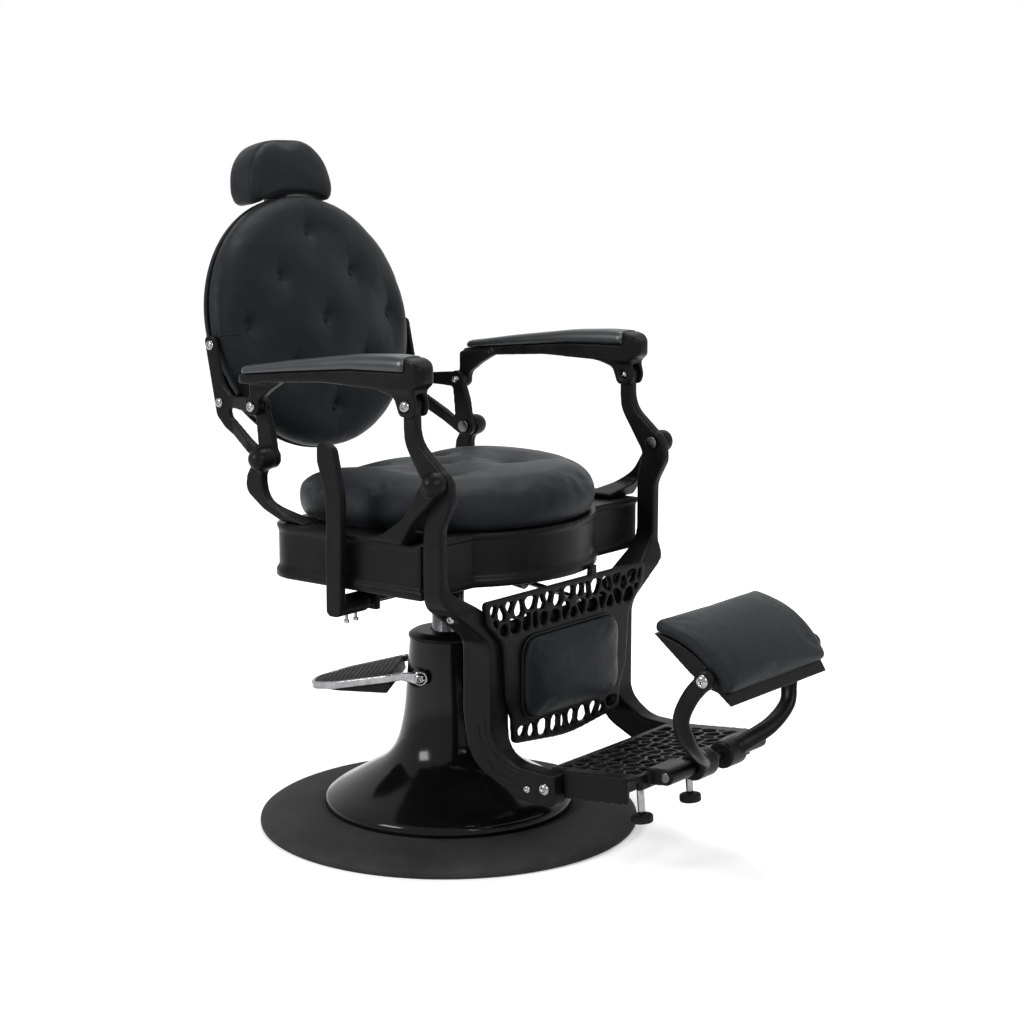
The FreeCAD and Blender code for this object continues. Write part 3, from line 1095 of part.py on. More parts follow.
for side, name in SIDES:
    shank = cross_rod(f"pad_bolt_shank_{name}", side, size("pad_half_width") - 14, pad_y, pad_z,
                      "Sizes.small_pin_radius", f"{pad_lug_out - size('pad_half_width') + 14}")
    head = cross_rod(f"pad_bolt_head_{name}", side, pad_lug_out, pad_y, pad_z, "Sizes.head_radius",
                     "Sizes.head_height")
    pad_bolt_parts.append(fuse(f"pad_bolt_{name}", shank, head))
keep(group("pad_bolts", *pad_bolt_parts), "pad_bolts")

# Foot pad: barrel-arched cushion on a cast tray with pivot bosses in its ends

arch_points = [Vector(pad_y + dy, pad_z + dz, 0) for dy, dz in ((103, 83), (13, 54), (-46, -14))]
arch_circle = Part.Arc(*arch_points).toShape().Curve
arch_centre, arch_radius = arch_circle.Center, arch_circle.Radius


def arch_at(depth):
    """Three points under the arch: a depth nearer to its centre, and as far below its front edge."""
    rear, crest = (place + (arch_centre - place).normalize() * depth for place in arch_points[:2])
    return [rear, crest, arch_points[2] + Vector(0.25, -0.97, 0) * depth]


arch_top, arch_under = arch_points, arch_at(size("pad_thick"))
cushion_loop = [
    Part.Arc(*arch_top), Part.LineSegment(arch_top[2], arch_under[2]), Part.Arc(*arch_under),
    Part.LineSegment(arch_under[0], arch_top[0]),
]
pad_half = "Sizes.pad_half_width"
foot_slab = slab("foot_slab", "YZ_Plane", [cushion_loop], "-" + pad_half, "2 * " + pad_half)


def on_arch(edge):
    """True for the curved end edges of the arch's top."""
    place = middle(edge)
    return Vector(place.y, place.z, 0).distanceToPoint(arch_centre) > arch_radius - 2


keep(soften("foot_pad", foot_slab, size("pad_edge"), lambda e: spread(e).XLength < 1e-3 and on_arch(e)),
     "foot_pad")
tray_top = arch_at(size("pad_thick") + size("face_gap"))
tray_points = [tray_top[2], Vector(pad_y - 14, pad_z - 20, 0), Vector(pad_y + 12, pad_z - 14, 0),
               Vector(pad_y + 40, pad_z + 6, 0), tray_top[0]]
tray_loop = [Part.Arc(*tray_top)] + [Part.LineSegment(a, b) for a, b in zip(tray_points, tray_points[1:])]
tray_half = "(Sizes.pad_half_width - 5)"
tray = slab("tray_slab", "YZ_Plane", [tray_loop], "-" + tray_half, "2 * " + tray_half)
tray_bosses = [
    cross_rod(f"tray_boss_{name}", side, size("pad_half_width") - 20, pad_y, pad_z, f"{yoke_half + 1}", "20")
    for side, name in SIDES
]
tray_holes = [
    cross_rod(f"tray_hole_{name}", side, size("pad_half_width") - 15, pad_y, pad_z,
              "Sizes.small_pin_radius + Sizes.running_gap", "16")
    for side, name in SIDES
]
tray_clear = slab("tray_clear", "YZ_Plane", [cushion_loop], "-200", "400")
keep(cut("foot_pad_tray", fuse("tray_joined", tray, *tray_bosses), *tray_holes, tray_clear), "foot_pad_tray")

# Recline lever on the right: curved bar clamped on a cross shaft that hangs under the seat

lever_y, lever_z, lever_top = size("lever_y"), size("lever_z"), size("lever_top")
lever_half = size("lever_width") / 2
lever_line = [
    (lever_y - lever_half, lever_z - 16, 12), (lever_y + lever_half, lever_z - 16, 12),
    (lever_y + 13, lever_top - 120, 80),
    (lever_y + 13, lever_top - 90, 60), (lever_y + 32, lever_top - 30, 30), (lever_y + 30, lever_top - 6, 10),
    (lever_y + 14, lever_top, 12), (lever_y - 4, lever_top - 12, 14), (lever_y - 20, lever_top - 82, 80),
    (lever_y - 20, lever_top - 130, 80),
]
lever_bar = side_slab("lever_bar", RIGHT, [rounded(lever_line)], "Sizes.lever_inner", "Sizes.lever_thick")
sleeve_inner = size("lever_inner") - size("lever_sleeve_length")
sleeve = cross_rod("lever_sleeve_rod", RIGHT, sleeve_inner, lever_y, lever_z, "Sizes.lever_sleeve",
                   "Sizes.lever_sleeve_length + 1")
sleeve_bore = cross_rod("lever_sleeve_bore", RIGHT, sleeve_inner - 1, lever_y, lever_z,
                        "Sizes.lever_shaft_radius", "46")
keep(cut("recline_lever", fuse("lever_joined", lever_bar, sleeve), sleeve_bore), "recline_lever")
shaft_end = size("lever_shaft_end")
keep(cross_rod("lever_shaft", RIGHT, shaft_end, lever_y, lever_z, "Sizes.lever_shaft_radius",
               f"{sleeve_inner + 44 - shaft_end}"), "lever_shaft")
screw_parts = []
for k, inset in enumerate((18, 40)):
    place = Vector(-sleeve_inner - inset, lever_y, lever_z - size("lever_sleeve") + 1)
    screw = fuse(f"lever_screw_{k}", cylinder(f"lever_screw_shank_{k}", place, Vector(0, 0, -1), "2.5", "9"),
                 cylinder(f"lever_screw_head_{k}", place - Vector(0, 0, 9), Vector(0, 0, -1), "4.5", "5"))
    screw_parts.append(screw)
screws = cut("lever_screws", group("lever_screw_pair", *screw_parts),
             cross_rod("lever_screw_seat", RIGHT, sleeve_inner - 1, lever_y, lever_z, "Sizes.lever_sleeve",
                       "70"))
keep(screws, "lever_screws")
cheek_spots = (shaft_end + 12, sleeve_inner - 24)
bracket_parts = [box("bracket_plate", (-cheek_spots[1] - 10, lever_y - 18, deck_low - 10),
                     (-cheek_spots[0], lever_y + 18, deck_low))]
bracket_parts += [box(f"bracket_cheek_{k}", (-spot - 10, lever_y - 16, lever_z - 16),
                      (-spot, lever_y + 16, deck_low - 1)) for k, spot in enumerate(cheek_spots)]
bracket_bore = cross_rod("bracket_bore", RIGHT, shaft_end - 1, lever_y, lever_z,
                         "Sizes.lever_shaft_radius + Sizes.running_gap", f"{sleeve_inner - shaft_end}")
keep(cut("lever_bracket", fuse("bracket_joined", *bracket_parts), bracket_bore), "lever_bracket")

# Locking gas spring between the seat and the leg crossbar, which holds the recline

gas_seat = Vector(size("gas_x"), size("gas_seat_y"), size("gas_seat_z"))
gas_leg = Vector(size("gas_x"), size("gas_leg_y"), crossbar_z)
gas_run = gas_leg - gas_seat
gas_length = gas_run.Length
gas_line = Vector(gas_run).normalize()
eye_half = size("gas_eye_width") / 2


def gas_eye(name, centre, hole):
    start = centre - Vector(eye_half, 0, 0)
    ring = cylinder(name + "_ring", start, Vector(1, 0, 0), "Sizes.gas_eye_radius", "Sizes.gas_eye_width")
    return ring, cylinder(name + "_hole", start - Vector(1, 0, 0), Vector(1, 0, 0), hole,
                          "Sizes.gas_eye_width + 2")


tube_start = size("gas_tube_start")
tube_end = tube_start + size("gas_tube_length")
ring, hole = gas_eye("gas_seat_eye", gas_seat, "Sizes.small_pin_radius + Sizes.running_gap")
neck = cylinder("gas_neck", gas_seat + gas_line * 9, gas_line, "Sizes.gas_rod_radius", f"{tube_start - 8}")
tube = cylinder("gas_tube", gas_seat + gas_line * tube_start, gas_line, "Sizes.gas_tube_radius",
                "Sizes.gas_tube_length")
gas_bore = cylinder("gas_bore", gas_seat + gas_line * (tube_end - size("gas_bore_depth")), gas_line,
                    "Sizes.gas_rod_radius + Sizes.running_gap", "Sizes.gas_bore_depth + 1")
keep(cut("gas_spring_tube", fuse("gas_tube_joined", ring, neck, tube), hole, gas_bore), "gas_spring_tube")
ring, hole = gas_eye("gas_leg_eye", gas_leg, "Sizes.small_pin_radius")
rod_start = tube_end - size("gas_bore_depth") + 4
rod = cylinder("gas_rod", gas_seat + gas_line * rod_start, gas_line, "Sizes.gas_rod_radius",
               f"{gas_length - rod_start - 8}")
keep(cut("gas_spring_rod", fuse("gas_rod_joined", ring, rod), hole), "gas_spring_rod")
seat_lug = box("gas_seat_lug", (lug_inner, gas_seat.y - 14, gas_seat.z - 14),
               (lug_out, gas_seat.y + 14, deck_low))
seat_pin = cylinder("gas_seat_pin", gas_seat - Vector(eye_half + 2, 0, 0), Vector(1, 0, 0),
                    "Sizes.small_pin_radius",
                    f"{lug_out - size('gas_x') + eye_half + 2}")
keep(fuse("gas_bracket", seat_lug, seat_pin), "gas_bracket")

# Check every object and write the parts

doc.recompute()
faults = [obj.Name for obj in doc.Objects if {"Invalid", "Error"} & set(obj.State)]
faults += [obj.Label for obj in kept if obj.Shape.isNull() or not obj.Shape.isValid()]
if faults:
    raise RuntimeError("failed objects: " + ", ".join(faults))
os.makedirs("parts", exist_ok=True)
for obj in kept:
    obj.Shape.exportStep(f"parts/{obj.Label}.step")
    print(obj.Label, len(obj.Shape.Solids), round(obj.Shape.Volume / 1000, 1))
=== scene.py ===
import json
import math

import bmesh
import bpy
import numpy as np
from mathutils import Matrix, Vector
from mathutils.bvhtree import BVHTree

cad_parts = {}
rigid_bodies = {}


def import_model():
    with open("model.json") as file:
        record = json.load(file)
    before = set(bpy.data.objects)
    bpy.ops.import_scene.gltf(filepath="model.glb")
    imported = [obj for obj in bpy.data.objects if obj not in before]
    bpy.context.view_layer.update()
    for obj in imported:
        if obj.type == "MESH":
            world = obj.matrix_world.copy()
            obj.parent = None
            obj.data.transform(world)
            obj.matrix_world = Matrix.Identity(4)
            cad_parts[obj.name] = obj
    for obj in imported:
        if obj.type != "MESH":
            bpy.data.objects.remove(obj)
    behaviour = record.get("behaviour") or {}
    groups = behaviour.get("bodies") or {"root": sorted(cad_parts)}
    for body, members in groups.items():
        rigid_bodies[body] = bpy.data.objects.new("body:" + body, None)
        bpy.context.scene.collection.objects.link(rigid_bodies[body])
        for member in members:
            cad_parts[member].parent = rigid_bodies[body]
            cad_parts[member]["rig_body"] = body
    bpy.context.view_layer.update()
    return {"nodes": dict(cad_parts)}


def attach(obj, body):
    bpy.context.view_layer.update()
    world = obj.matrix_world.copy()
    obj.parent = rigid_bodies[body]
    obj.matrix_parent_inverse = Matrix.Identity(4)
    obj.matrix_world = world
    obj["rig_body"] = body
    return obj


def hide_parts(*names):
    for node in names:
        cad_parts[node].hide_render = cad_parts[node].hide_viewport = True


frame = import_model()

nodes = frame["nodes"]

# Base plate: a heavy cast disc that stands on the floor.
# Its top falls away to a rounded rim, and it is finished in a matt black texture coat.


def eased(corners, steps=8):
    """Line through (a, b, reach) corners: corner c becomes the parabola (1-t)^2 p + 2t(1-t) c + t^2 q,
    where p and q lie reach from c along its two sides."""
    corner = np.array([place[:2] for place in corners], float)
    before, after = np.roll(corner, 1, 0) - corner, np.roll(corner, -1, 0) - corner
    back, ahead = np.linalg.norm(before, axis=1), np.linalg.norm(after, axis=1)
    reach = np.minimum([place[2] for place in corners], 0.5 * np.minimum(back, ahead))[:, None]
    p, q = corner + before / back[:, None] * reach, corner + after / ahead[:, None] * reach
    t = np.linspace(0, 1, steps)[None, :, None]
    line = (1 - t) ** 2 * p[:, None] + 2 * t * (1 - t) * corner[:, None] + t ** 2 * q[:, None]
    line = line.reshape(-1, 2)
    fresh = np.linalg.norm(np.diff(line, axis=0, prepend=line[:1] - 1), axis=1) > 1e-7
    return line[fresh]


def surface(name, grid, ring_rows=False, ring_columns=False):
    """Quads between neighbours of a (rows, columns, 3) grid of points. A ring joins the last to the first.
    Points that coincide, as at a pole, are merged and the faces turned outwards."""
    rows, columns = grid.shape[:2]
    r = np.arange(rows if ring_rows else rows - 1)[:, None]
    c = np.arange(columns if ring_columns else columns - 1)[None, :]
    r_next, c_next = (r + 1) % rows, (c + 1) % columns
    low, high = r * columns, r_next * columns
    quads = np.stack([low + c, low + c_next, high + c_next, high + c], -1)
    mesh = bpy.data.meshes.new(name)
    mesh.from_pydata(grid.reshape(-1, 3), [], quads.reshape(-1, 4).tolist())
    tidy_faces(mesh)
    piece = bpy.data.objects.new(name, mesh)
    bpy.context.scene.collection.objects.link(piece)
    return piece


def tidy_faces(mesh):
    """Merges points that coincide, turns the faces outwards and shades them smooth."""
    work = bmesh.new()
    work.from_mesh(mesh)
    bmesh.ops.remove_doubles(work, verts=work.verts, dist=1e-6)
    bmesh.ops.dissolve_degenerate(work, edges=work.edges, dist=1e-7)
    bmesh.ops.recalc_face_normals(work, faces=work.faces)
    work.to_mesh(mesh)
    work.free()
    mesh.shade_smooth()


def turned(name, line, turns=176):
    """Surface of revolution: each (radius, height) point of line carried round Z in equal steps."""
    angle = np.linspace(0, 2 * math.pi, turns, endpoint=False)[None, :]
    radius, height = line[:, :1], line[:, 1:]
    grid = np.stack([radius * np.cos(angle), radius * np.sin(angle), height + 0 * angle], -1)
    return surface(name, grid, ring_columns=True)


def node_of(tree, kind, **values):
    """New shader node with the named input sockets or attributes set."""
    made = tree.nodes.new("ShaderNode" + kind)
    for key, value in values.items():
        if key in made.inputs:
            made.inputs[key].default_value = value
        else:
            setattr(made, key, value)
    return made


def coat(name, dark, light, rough, patch, grain, depth, metallic=0.0, specular=0.15):
    """Paint or plating. Slow noise of size patch drifts the colour from dark to light and the roughness
    over rough = (low, high), and fine noise of size grain raises bumps of depth metres."""
    material = bpy.data.materials.new(name)
    material.use_nodes = True
    tree = material.node_tree
    shader = tree.nodes["Principled BSDF"]
    shader.inputs["Metallic"].default_value = metallic
    shader.inputs["Specular IOR Level"].default_value = specular
    place = node_of(tree, "TexCoord").outputs["Object"]
    slow = node_of(tree, "TexNoise", Scale=1 / patch, Detail=4.0, Roughness=0.6)
    fine = node_of(tree, "TexNoise", Scale=1 / grain, Detail=3.0, Roughness=0.55)
    tint = node_of(tree, "ValToRGB")
    tint.color_ramp.elements[0].position, tint.color_ramp.elements[1].position = 0.35, 0.7
    tint.color_ramp.elements[0].color, tint.color_ramp.elements[1].color = (*dark, 1), (*light, 1)
    spread = {"From Min": 0.3, "From Max": 0.7, "To Min": rough[0], "To Max": rough[1]}
    wear = node_of(tree, "MapRange", **spread)
    bump = node_of(tree, "Bump", Strength=1.0, Distance=depth)
    for texture in (slow, fine):
        tree.links.new(place, texture.inputs["Vector"])
    tree.links.new(slow.outputs["Fac"], tint.inputs["Fac"])
    tree.links.new(slow.outputs["Fac"], wear.inputs["Value"])
    tree.links.new(fine.outputs["Fac"], bump.inputs["Height"])
    tree.links.new(tint.outputs["Color"], shader.inputs["Base Color"])
    tree.links.new(wear.outputs["Result"], shader.inputs["Roughness"])
    tree.links.new(bump.outputs["Normal"], shader.inputs["Normal"])
    return material


def fit(piece, body, material, slot, *stands_for):
    """Gives a piece its finish, the body that carries it and the CAD nodes it stands for."""
    piece.data.materials.clear()
    piece.data.materials.append(material)
    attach(piece, body)
    if stands_for:
        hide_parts(*stands_for)
    return piece


texture_coat = coat("texture_coat", (0.022, 0.022, 0.0225), (0.038, 0.038, 0.039), (0.6, 0.78),
                    0.09, 0.0016, 0.0005, 0.0, 0.05)
plate_line = eased([
    (0, 0, 0), (0.327, 0, 0.003), (0.330, 0.004, 0.003), (0.330, 0.0125, 0.005), (0.322, 0.0185, 0.006),
    (0.302, 0.0265, 0.016), (0.262, 0.0302, 0.02), (0.2215, 0.031, 0), (0, 0.031, 0),
])
fit(turned("base_disc", plate_line, 224), "base", texture_coat, "base_coat", "base_plate")

# Column cover: a spun steel bell that flares down from the pump column to the base, in gloss black enamel.
# A rolled lip stands on the plate. A collar tops the column, and two pedal bosses are fixed to it.

enamel = coat("gloss_enamel", (0.003, 0.003, 0.0033), (0.005, 0.005, 0.0055), (0.10, 0.17),
              0.12, 0.03, 0.00006, 0.0, 0.14)
bell_line = eased([
    (0.205, 0.0312, 0), (0.217, 0.0312, 0.003), (0.2178, 0.0375, 0.004), (0.2155, 0.047, 0.008),
    (0.2005, 0.0582, 0.02), (0.164, 0.079, 0.03), (0.096, 0.119, 0.036), (0.0775, 0.186, 0.05),
    (0.0725, 0.255, 0.05), (0.067, 0.327, 0),
])
fit(turned("column_bell", bell_line, 224), "base", enamel, "gloss_coat", "column_cover")
cap_line = eased([
    (0.0295, 0.327, 0), (0.069, 0.3272, 0.002), (0.0694, 0.3322, 0.002), (0.066, 0.3352, 0.003),
    (0.057, 0.3398, 0.004), (0.031, 0.3404, 0.001), (0.0295, 0.3384, 0), (0.0295, 0.327, 0),
])
satin = coat("satin_powder_coat", (0.0030, 0.0030, 0.0033), (0.0052, 0.0052, 0.0056), (0.28, 0.40),
             0.06, 0.0012, 0.00012, 0.0, 0.075)
fit(turned("column_collar", cap_line), "base", satin, "gloss_coat", "column_cap")


def aimed(piece, start, direction):
    """Turns a piece made about Z so that Z lies along direction, and moves it to start, in its mesh."""
    turn = Vector(direction).to_track_quat("Z", "Y").to_matrix().to_4x4()
    piece.data.transform(Matrix.Translation(Vector(start)) @ turn)
    return piece


pedal_out = np.array([math.cos(math.radians(120)), math.sin(math.radians(120)), 0.0])
pedal_side = np.array([-pedal_out[1], pedal_out[0], 0.0])
hinge_out = 0.036
pedal_hinge = hinge_out * pedal_out + np.array([0, 0, 0.268])
boss_line = eased([(0.0, 0.0, 0), (0.018, 0.0, 0), (0.0135, 0.010, 0.006), (0.013, 0.019, 0.001),
                   (0.0115, 0.0205, 0.001), (0, 0.0205, 0)])
for sign, side in ((-1, "far"), (1, "near")):
    boss = turned("pedal_boss_" + side, boss_line, 48)
    aimed(boss, pedal_hinge + sign * 0.052 * pedal_side, sign * pedal_side)
    fit(boss, "base", satin, "gloss_coat")

# Lift ram: the ground steel piston of the pump, with a dust wiper mark near its top.
# The pump cylinder around it stays inside the column.

ram_steel = coat("ram_steel", (0.07, 0.07, 0.073), (0.11, 0.11, 0.115), (0.16, 0.28),
                 0.03, 0.0006, 0.00002, 1.0)
ram_line = eased([
    (0, 0.062, 0), (0.0262, 0.062, 0), (0.028, 0.064, 0.001), (0.028, 0.4235, 0), (0.0268, 0.4248, 0),
    (0.0268, 0.4262, 0), (0.028, 0.4275, 0), (0.028, 0.4288, 0.001), (0.0268, 0.430, 0.001),
    (0.022, 0.430, 0), (0.022, 0.4605, 0.001), (0.0205, 0.462, 0.001), (0, 0.462, 0),
])
fit(turned("ram_piston", ram_line, 96), "ram", ram_steel, "steel", "lift_ram")
nodes["pump_cylinder"].data.materials.clear()
nodes["pump_cylinder"].data.materials.append(ram_steel)

# Pump pedal: a bright flat bar bent to a loop round the column, with a ribbed black tread wedge in its end.
# Bolts with domed heads carry it on the column's bosses.


def node_copy(node):
    """Copy of a CAD node with its loose triangles merged."""
    mesh = nodes[node].data.copy()
    work = bmesh.new()
    work.from_mesh(mesh)
    bmesh.ops.remove_doubles(work, verts=work.verts, dist=2e-5)
    work.to_mesh(mesh)
    work.free()
    mesh.shade_smooth()
    piece = bpy.data.objects.new(node + "_piece", mesh)
    bpy.context.scene.collection.objects.link(piece)
    return piece


def as_mesh(piece):
    """Bakes a piece's modifiers into its own mesh."""
    seen = piece.evaluated_get(bpy.context.evaluated_depsgraph_get())
    baked = bpy.data.meshes.new_from_object(seen)
    piece.modifiers.clear()
    piece.data = baked
    piece.data.shade_smooth()
    return piece


def even_skin(piece, voxel):
    """Rebuilds a closed skin as even quads of size voxel."""
    skin = piece.modifiers.new("even_skin", "REMESH")
    skin.mode, skin.voxel_size, skin.use_smooth_shade = "VOXEL", voxel, True
    return as_mesh(piece)


def smoothed(piece, passes):
    """Moves each point half-way to its neighbours' middle, passes times: edges round off, flats stay."""
    rounding = piece.modifiers.new("rounded_edges", "SMOOTH")
    rounding.factor, rounding.iterations = 0.5, passes
    return as_mesh(piece)


def cast(node, voxel, passes, material, slot):
    """Shows a CAD node as a casting: its copy in even quads of size voxel, smoothed."""
    piece = smoothed(even_skin(node_copy(node), voxel), passes)
    return fit(piece, nodes[node]["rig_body"], material, slot, node)


def dress(node, edge, material, slot, steps=3):
    """Shows a CAD node as a copy with its flats joined and every sharp edge rounded by edge metres."""
    piece = node_copy(node)
    work = bmesh.new()
    work.from_mesh(piece.data)
    bmesh.ops.dissolve_limit(work, angle_limit=math.radians(0.5), verts=work.verts, edges=work.edges)
    work.to_mesh(piece.data)
    work.free()
    piece.data.shade_smooth()
    rounding = piece.modifiers.new("rounded_edges", "BEVEL")
    rounding.width, rounding.segments, rounding.limit_method = edge, steps, "ANGLE"
    rounding.angle_limit, rounding.harden_normals = math.radians(32), True
    return fit(piece, nodes[node]["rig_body"], material, slot, node)


chrome = coat("bright_chrome", (0.19, 0.19, 0.195), (0.30, 0.30, 0.305), (0.10, 0.20),
              0.02, 0.004, 0.00002, 1.0)
cast("pedal_loop", 0.0012, 5, chrome, "bright")
ribbed_rubber = coat("ribbed_rubber", (0.007, 0.007, 0.007), (0.012, 0.012, 0.012), (0.5, 0.66),
                     0.02, 0.0016, 0.0002, 0.0, 0.1)
dress("pedal_tread", 0.003, ribbed_rubber, "rubber")
rib_corners = [(-0.0016, 0.0, 0), (-0.0012, 0.0014, 0.0006), (0.0012, 0.0014, 0.0006), (0.0016, 0.0, 0)]
tread_rib = eased(rib_corners, 4)
tread_top = 0.0132
rib_out = np.arange(0.104, 0.226, 0.009)
rib_half = np.interp(rib_out, [0.096, 0.192, 0.238], [0.079, 0.058, 0.026]) - 0.012
pedal_slope = math.radians(11.7)
pedal_fall = math.cos(pedal_slope) * pedal_out - np.array([0, 0, math.sin(pedal_slope)])
pedal_up = np.cross(pedal_fall, pedal_side)
for k, (out, half) in enumerate(zip(rib_out, rib_half)):
    along = np.linspace(-half, half, 9)[:, None, None]
    shrink = np.where(np.abs(along) > half * 0.99, 0.35, 1.0)
    grid = (pedal_hinge + (out - hinge_out + tread_rib[None, :, :1] * shrink) * pedal_fall
            + (tread_top + tread_rib[None, :, 1:] * shrink) * pedal_up + along * pedal_side)
    fit(surface(f"pedal_rib_{k}", grid), "pedal", ribbed_rubber, "rubber")


def socket_bolt(name, start, direction, radius, height, shank):
    """Button-head bolt about an axis: a shank runs back from its seat, rings rise over a quarter-ellipse
    dome to the rim of a six-sided socket, whose radius at angle a is c / cos((a mod 60) - 30), and go down
    to its floor."""
    angle = np.linspace(0, 2 * math.pi, 48, endpoint=False)
    hexagon = 0.46 * radius * math.cos(math.pi / 6) / np.cos(np.mod(angle, math.pi / 3) - math.pi / 6)
    dome_end = math.pi / 2 * 0.62
    dome = np.linspace(0, dome_end, 7)
    rings = [(radius * np.cos(a) + 0 * angle, height * np.sin(a) / math.sin(dome_end)) for a in dome]
    thick = 0.6 * radius + 0 * angle
    rings = [(0 * angle, -shank), (thick, -shank), (thick, 0.0), (radius + 0 * angle, 0.0)] + rings
    rings += [(hexagon * 1.06, height), (hexagon, height * 0.93), (hexagon, height * 0.35),
              (0 * angle, height * 0.3)]
    grid = np.stack([np.stack([r * np.cos(angle), r * np.sin(angle), h + 0 * angle], -1) for r, h in rings])
    return aimed(surface(name, grid, ring_columns=True), start, direction)


for sign, side in ((-1, "far"), (1, "near")):
    seat = pedal_hinge + sign * 0.0794 * pedal_side
    head = socket_bolt("pedal_bolt_" + side, seat, sign * pedal_side, 0.010, 0.0055, 0.009)
    fit(head, "base", chrome, "bright", *(["pedal_bolts"] if sign > 0 else []))

# Seat frame: one casting with a round nose, square wings, a beaded lower edge and ribs under its deck.
# It stands on the turntable, which the ram's spigot carries.

cast("seat_frame", 0.0028, 5, satin, "casting")
dress("turntable", 0.0012, satin, "casting")

# Seat cushion: foam on a board, in black leather, round with a straight back edge.
# Five buttons pull its top down, and its sides bulge over a tucked lower seam.


def pillow(name, outline, rows, place):
    """Closed skin of a pad. Row (share, inset, height) is the (n, 2) outline moved in by inset along its
    normals and drawn to its middle by share. The first and last shares are 0, so the skin closes at two
    poles. place is 4x4."""
    ahead, behind = np.roll(outline, -1, 0), np.roll(outline, 1, 0)
    along = (ahead - behind) / np.linalg.norm(ahead - behind, axis=1)[:, None]
    inward = np.stack([-along[:, 1], along[:, 0]], -1)
    centre = (outline.max(0) + outline.min(0)) / 2
    share, inset, height = (np.array(column)[:, None, None] for column in zip(*rows))
    flat = centre + share * (outline[None] + inset * inward[None] - centre)
    grid = np.concatenate([flat, height + 0 * flat[..., :1]], -1)
    turn, move = np.array(place)[:3, :3], np.array(place)[:3, 3]
    return surface(name, grid @ turn.T + move, ring_columns=True)


def pad_rows(low, high, under, edge, bulge, crown, rings=14):
    """Rows of a pillow from its underside up: a tuck of size under, a side that swells by bulge half-way,
    a rounded top edge of size edge, and a top that rises by crown * (1 - share^2)."""
    inner = np.linspace(0, 0.94, rings)
    t = np.linspace(0, 1, 15)
    foot = [(k, under, low) for k in inner]
    side = []
    for s in t:
        tuck = under * (1 - math.sin(math.pi / 2 * min(1, s / 0.25)))
        roll = edge * max(0.0, (s - 0.62) / 0.38) ** 2.4
        side.append((1.0, tuck + roll - bulge * math.sin(math.pi * s), low + (high - crown - low) * s))
    top = [(k, edge, high - crown * k * k) for k in inner[::-1]]
    return foot + side + top


def points_of(mesh):
    """Vertex places as an (n, 3) array."""
    flat = np.empty(len(mesh.vertices) * 3)
    mesh.vertices.foreach_get("co", flat)
    return flat.reshape(-1, 3)


def put_points(mesh, places):
    """Writes vertex places back into a mesh."""
    mesh.vertices.foreach_set("co", places.ravel())
    mesh.update()


def buttoned(places, normal, spots, depth, reach):
    """Moves points back along normal round buttons at spots, by the distance d across the skin:
    depth * (0.6 exp(-(d / reach)^2) + 0.4 exp(-d / (1.5 reach)))."""
    sunk = np.zeros(len(places))
    for spot in spots:
        away = places - spot
        away = away - (away @ normal)[:, None] * normal
        near = np.linalg.norm(places - spot, axis=1) < 6 * reach
        far = np.linalg.norm(away, axis=1)
        dip = 0.6 * np.exp(-(far / reach) ** 2) + 0.4 * np.exp(-far / (1.5 * reach))
        sunk = np.maximum(sunk, near * depth * dip)
    return places - sunk[:, None] * normal


def stuffed(piece, held, pressure, cap, steps=20):
    """Blows a skin up as cloth under inner pressure while held points stay, keeps each point's move up to
    cap, and draws the skin taut by smoothing."""
    rest = points_of(piece.data)
    pins = piece.vertex_groups.new(name="held")
    pins.add(np.flatnonzero(held).tolist(), 1.0, "REPLACE")
    cloth = piece.modifiers.new("stuffing", "CLOTH")
    cloth.settings.quality = 4
    cloth.settings.tension_stiffness = cloth.settings.compression_stiffness = 12
    cloth.settings.bending_stiffness = 0.8
    cloth.settings.use_pressure = True
    cloth.settings.uniform_pressure_force = pressure
    cloth.settings.effector_weights.gravity = 0
    cloth.settings.vertex_group_mass = "held"
    cloth.point_cache.frame_start, cloth.point_cache.frame_end = 1, steps
    for step in range(1, steps + 1):
        bpy.context.scene.frame_set(step)
    seen = piece.evaluated_get(bpy.context.evaluated_depsgraph_get())
    move = points_of(seen.data) - rest
    length = np.linalg.norm(move, axis=1)[:, None]
    piece.modifiers.remove(cloth)
    piece.vertex_groups.clear()
    bpy.context.scene.frame_set(1)
    put_points(piece.data, rest + move * np.minimum(1, cap / np.maximum(length, 1e-9)))
    smoothed(piece, 10)


def leather(name, dark, light, rough, grain, wrinkle):
    """Black grained leather: pebbles of size grain from the walls between Voronoi cells, slow wrinkles, and
    drift in the colour."""
    material = coat(name, dark, light, rough, 0.11, 0.035, wrinkle, 0.0, 0.10)
    tree = material.node_tree
    shader = tree.nodes["Principled BSDF"]
    shader.inputs["Sheen Weight"].default_value = 0.04
    shader.inputs["Sheen Roughness"].default_value = 0.4
    place = node_of(tree, "TexCoord").outputs["Object"]
    cells = node_of(tree, "TexVoronoi", feature="DISTANCE_TO_EDGE", Scale=1 / grain)
    groove = node_of(tree, "MapRange", **{"From Min": 0.0, "From Max": 0.22, "To Min": 0.0, "To Max": 1.0})
    pebble = node_of(tree, "Bump", Strength=0.55, Distance=0.00025)
    slow = shader.inputs["Normal"].links[0].from_node
    tree.links.new(place, cells.inputs["Vector"])
    tree.links.new(cells.outputs["Distance"], groove.inputs["Value"])
    tree.links.new(groove.outputs["Result"], pebble.inputs["Height"])
    tree.links.new(slow.outputs["Normal"], pebble.inputs["Normal"])
    tree.links.new(pebble.outputs["Normal"], shader.inputs["Normal"])
    return material


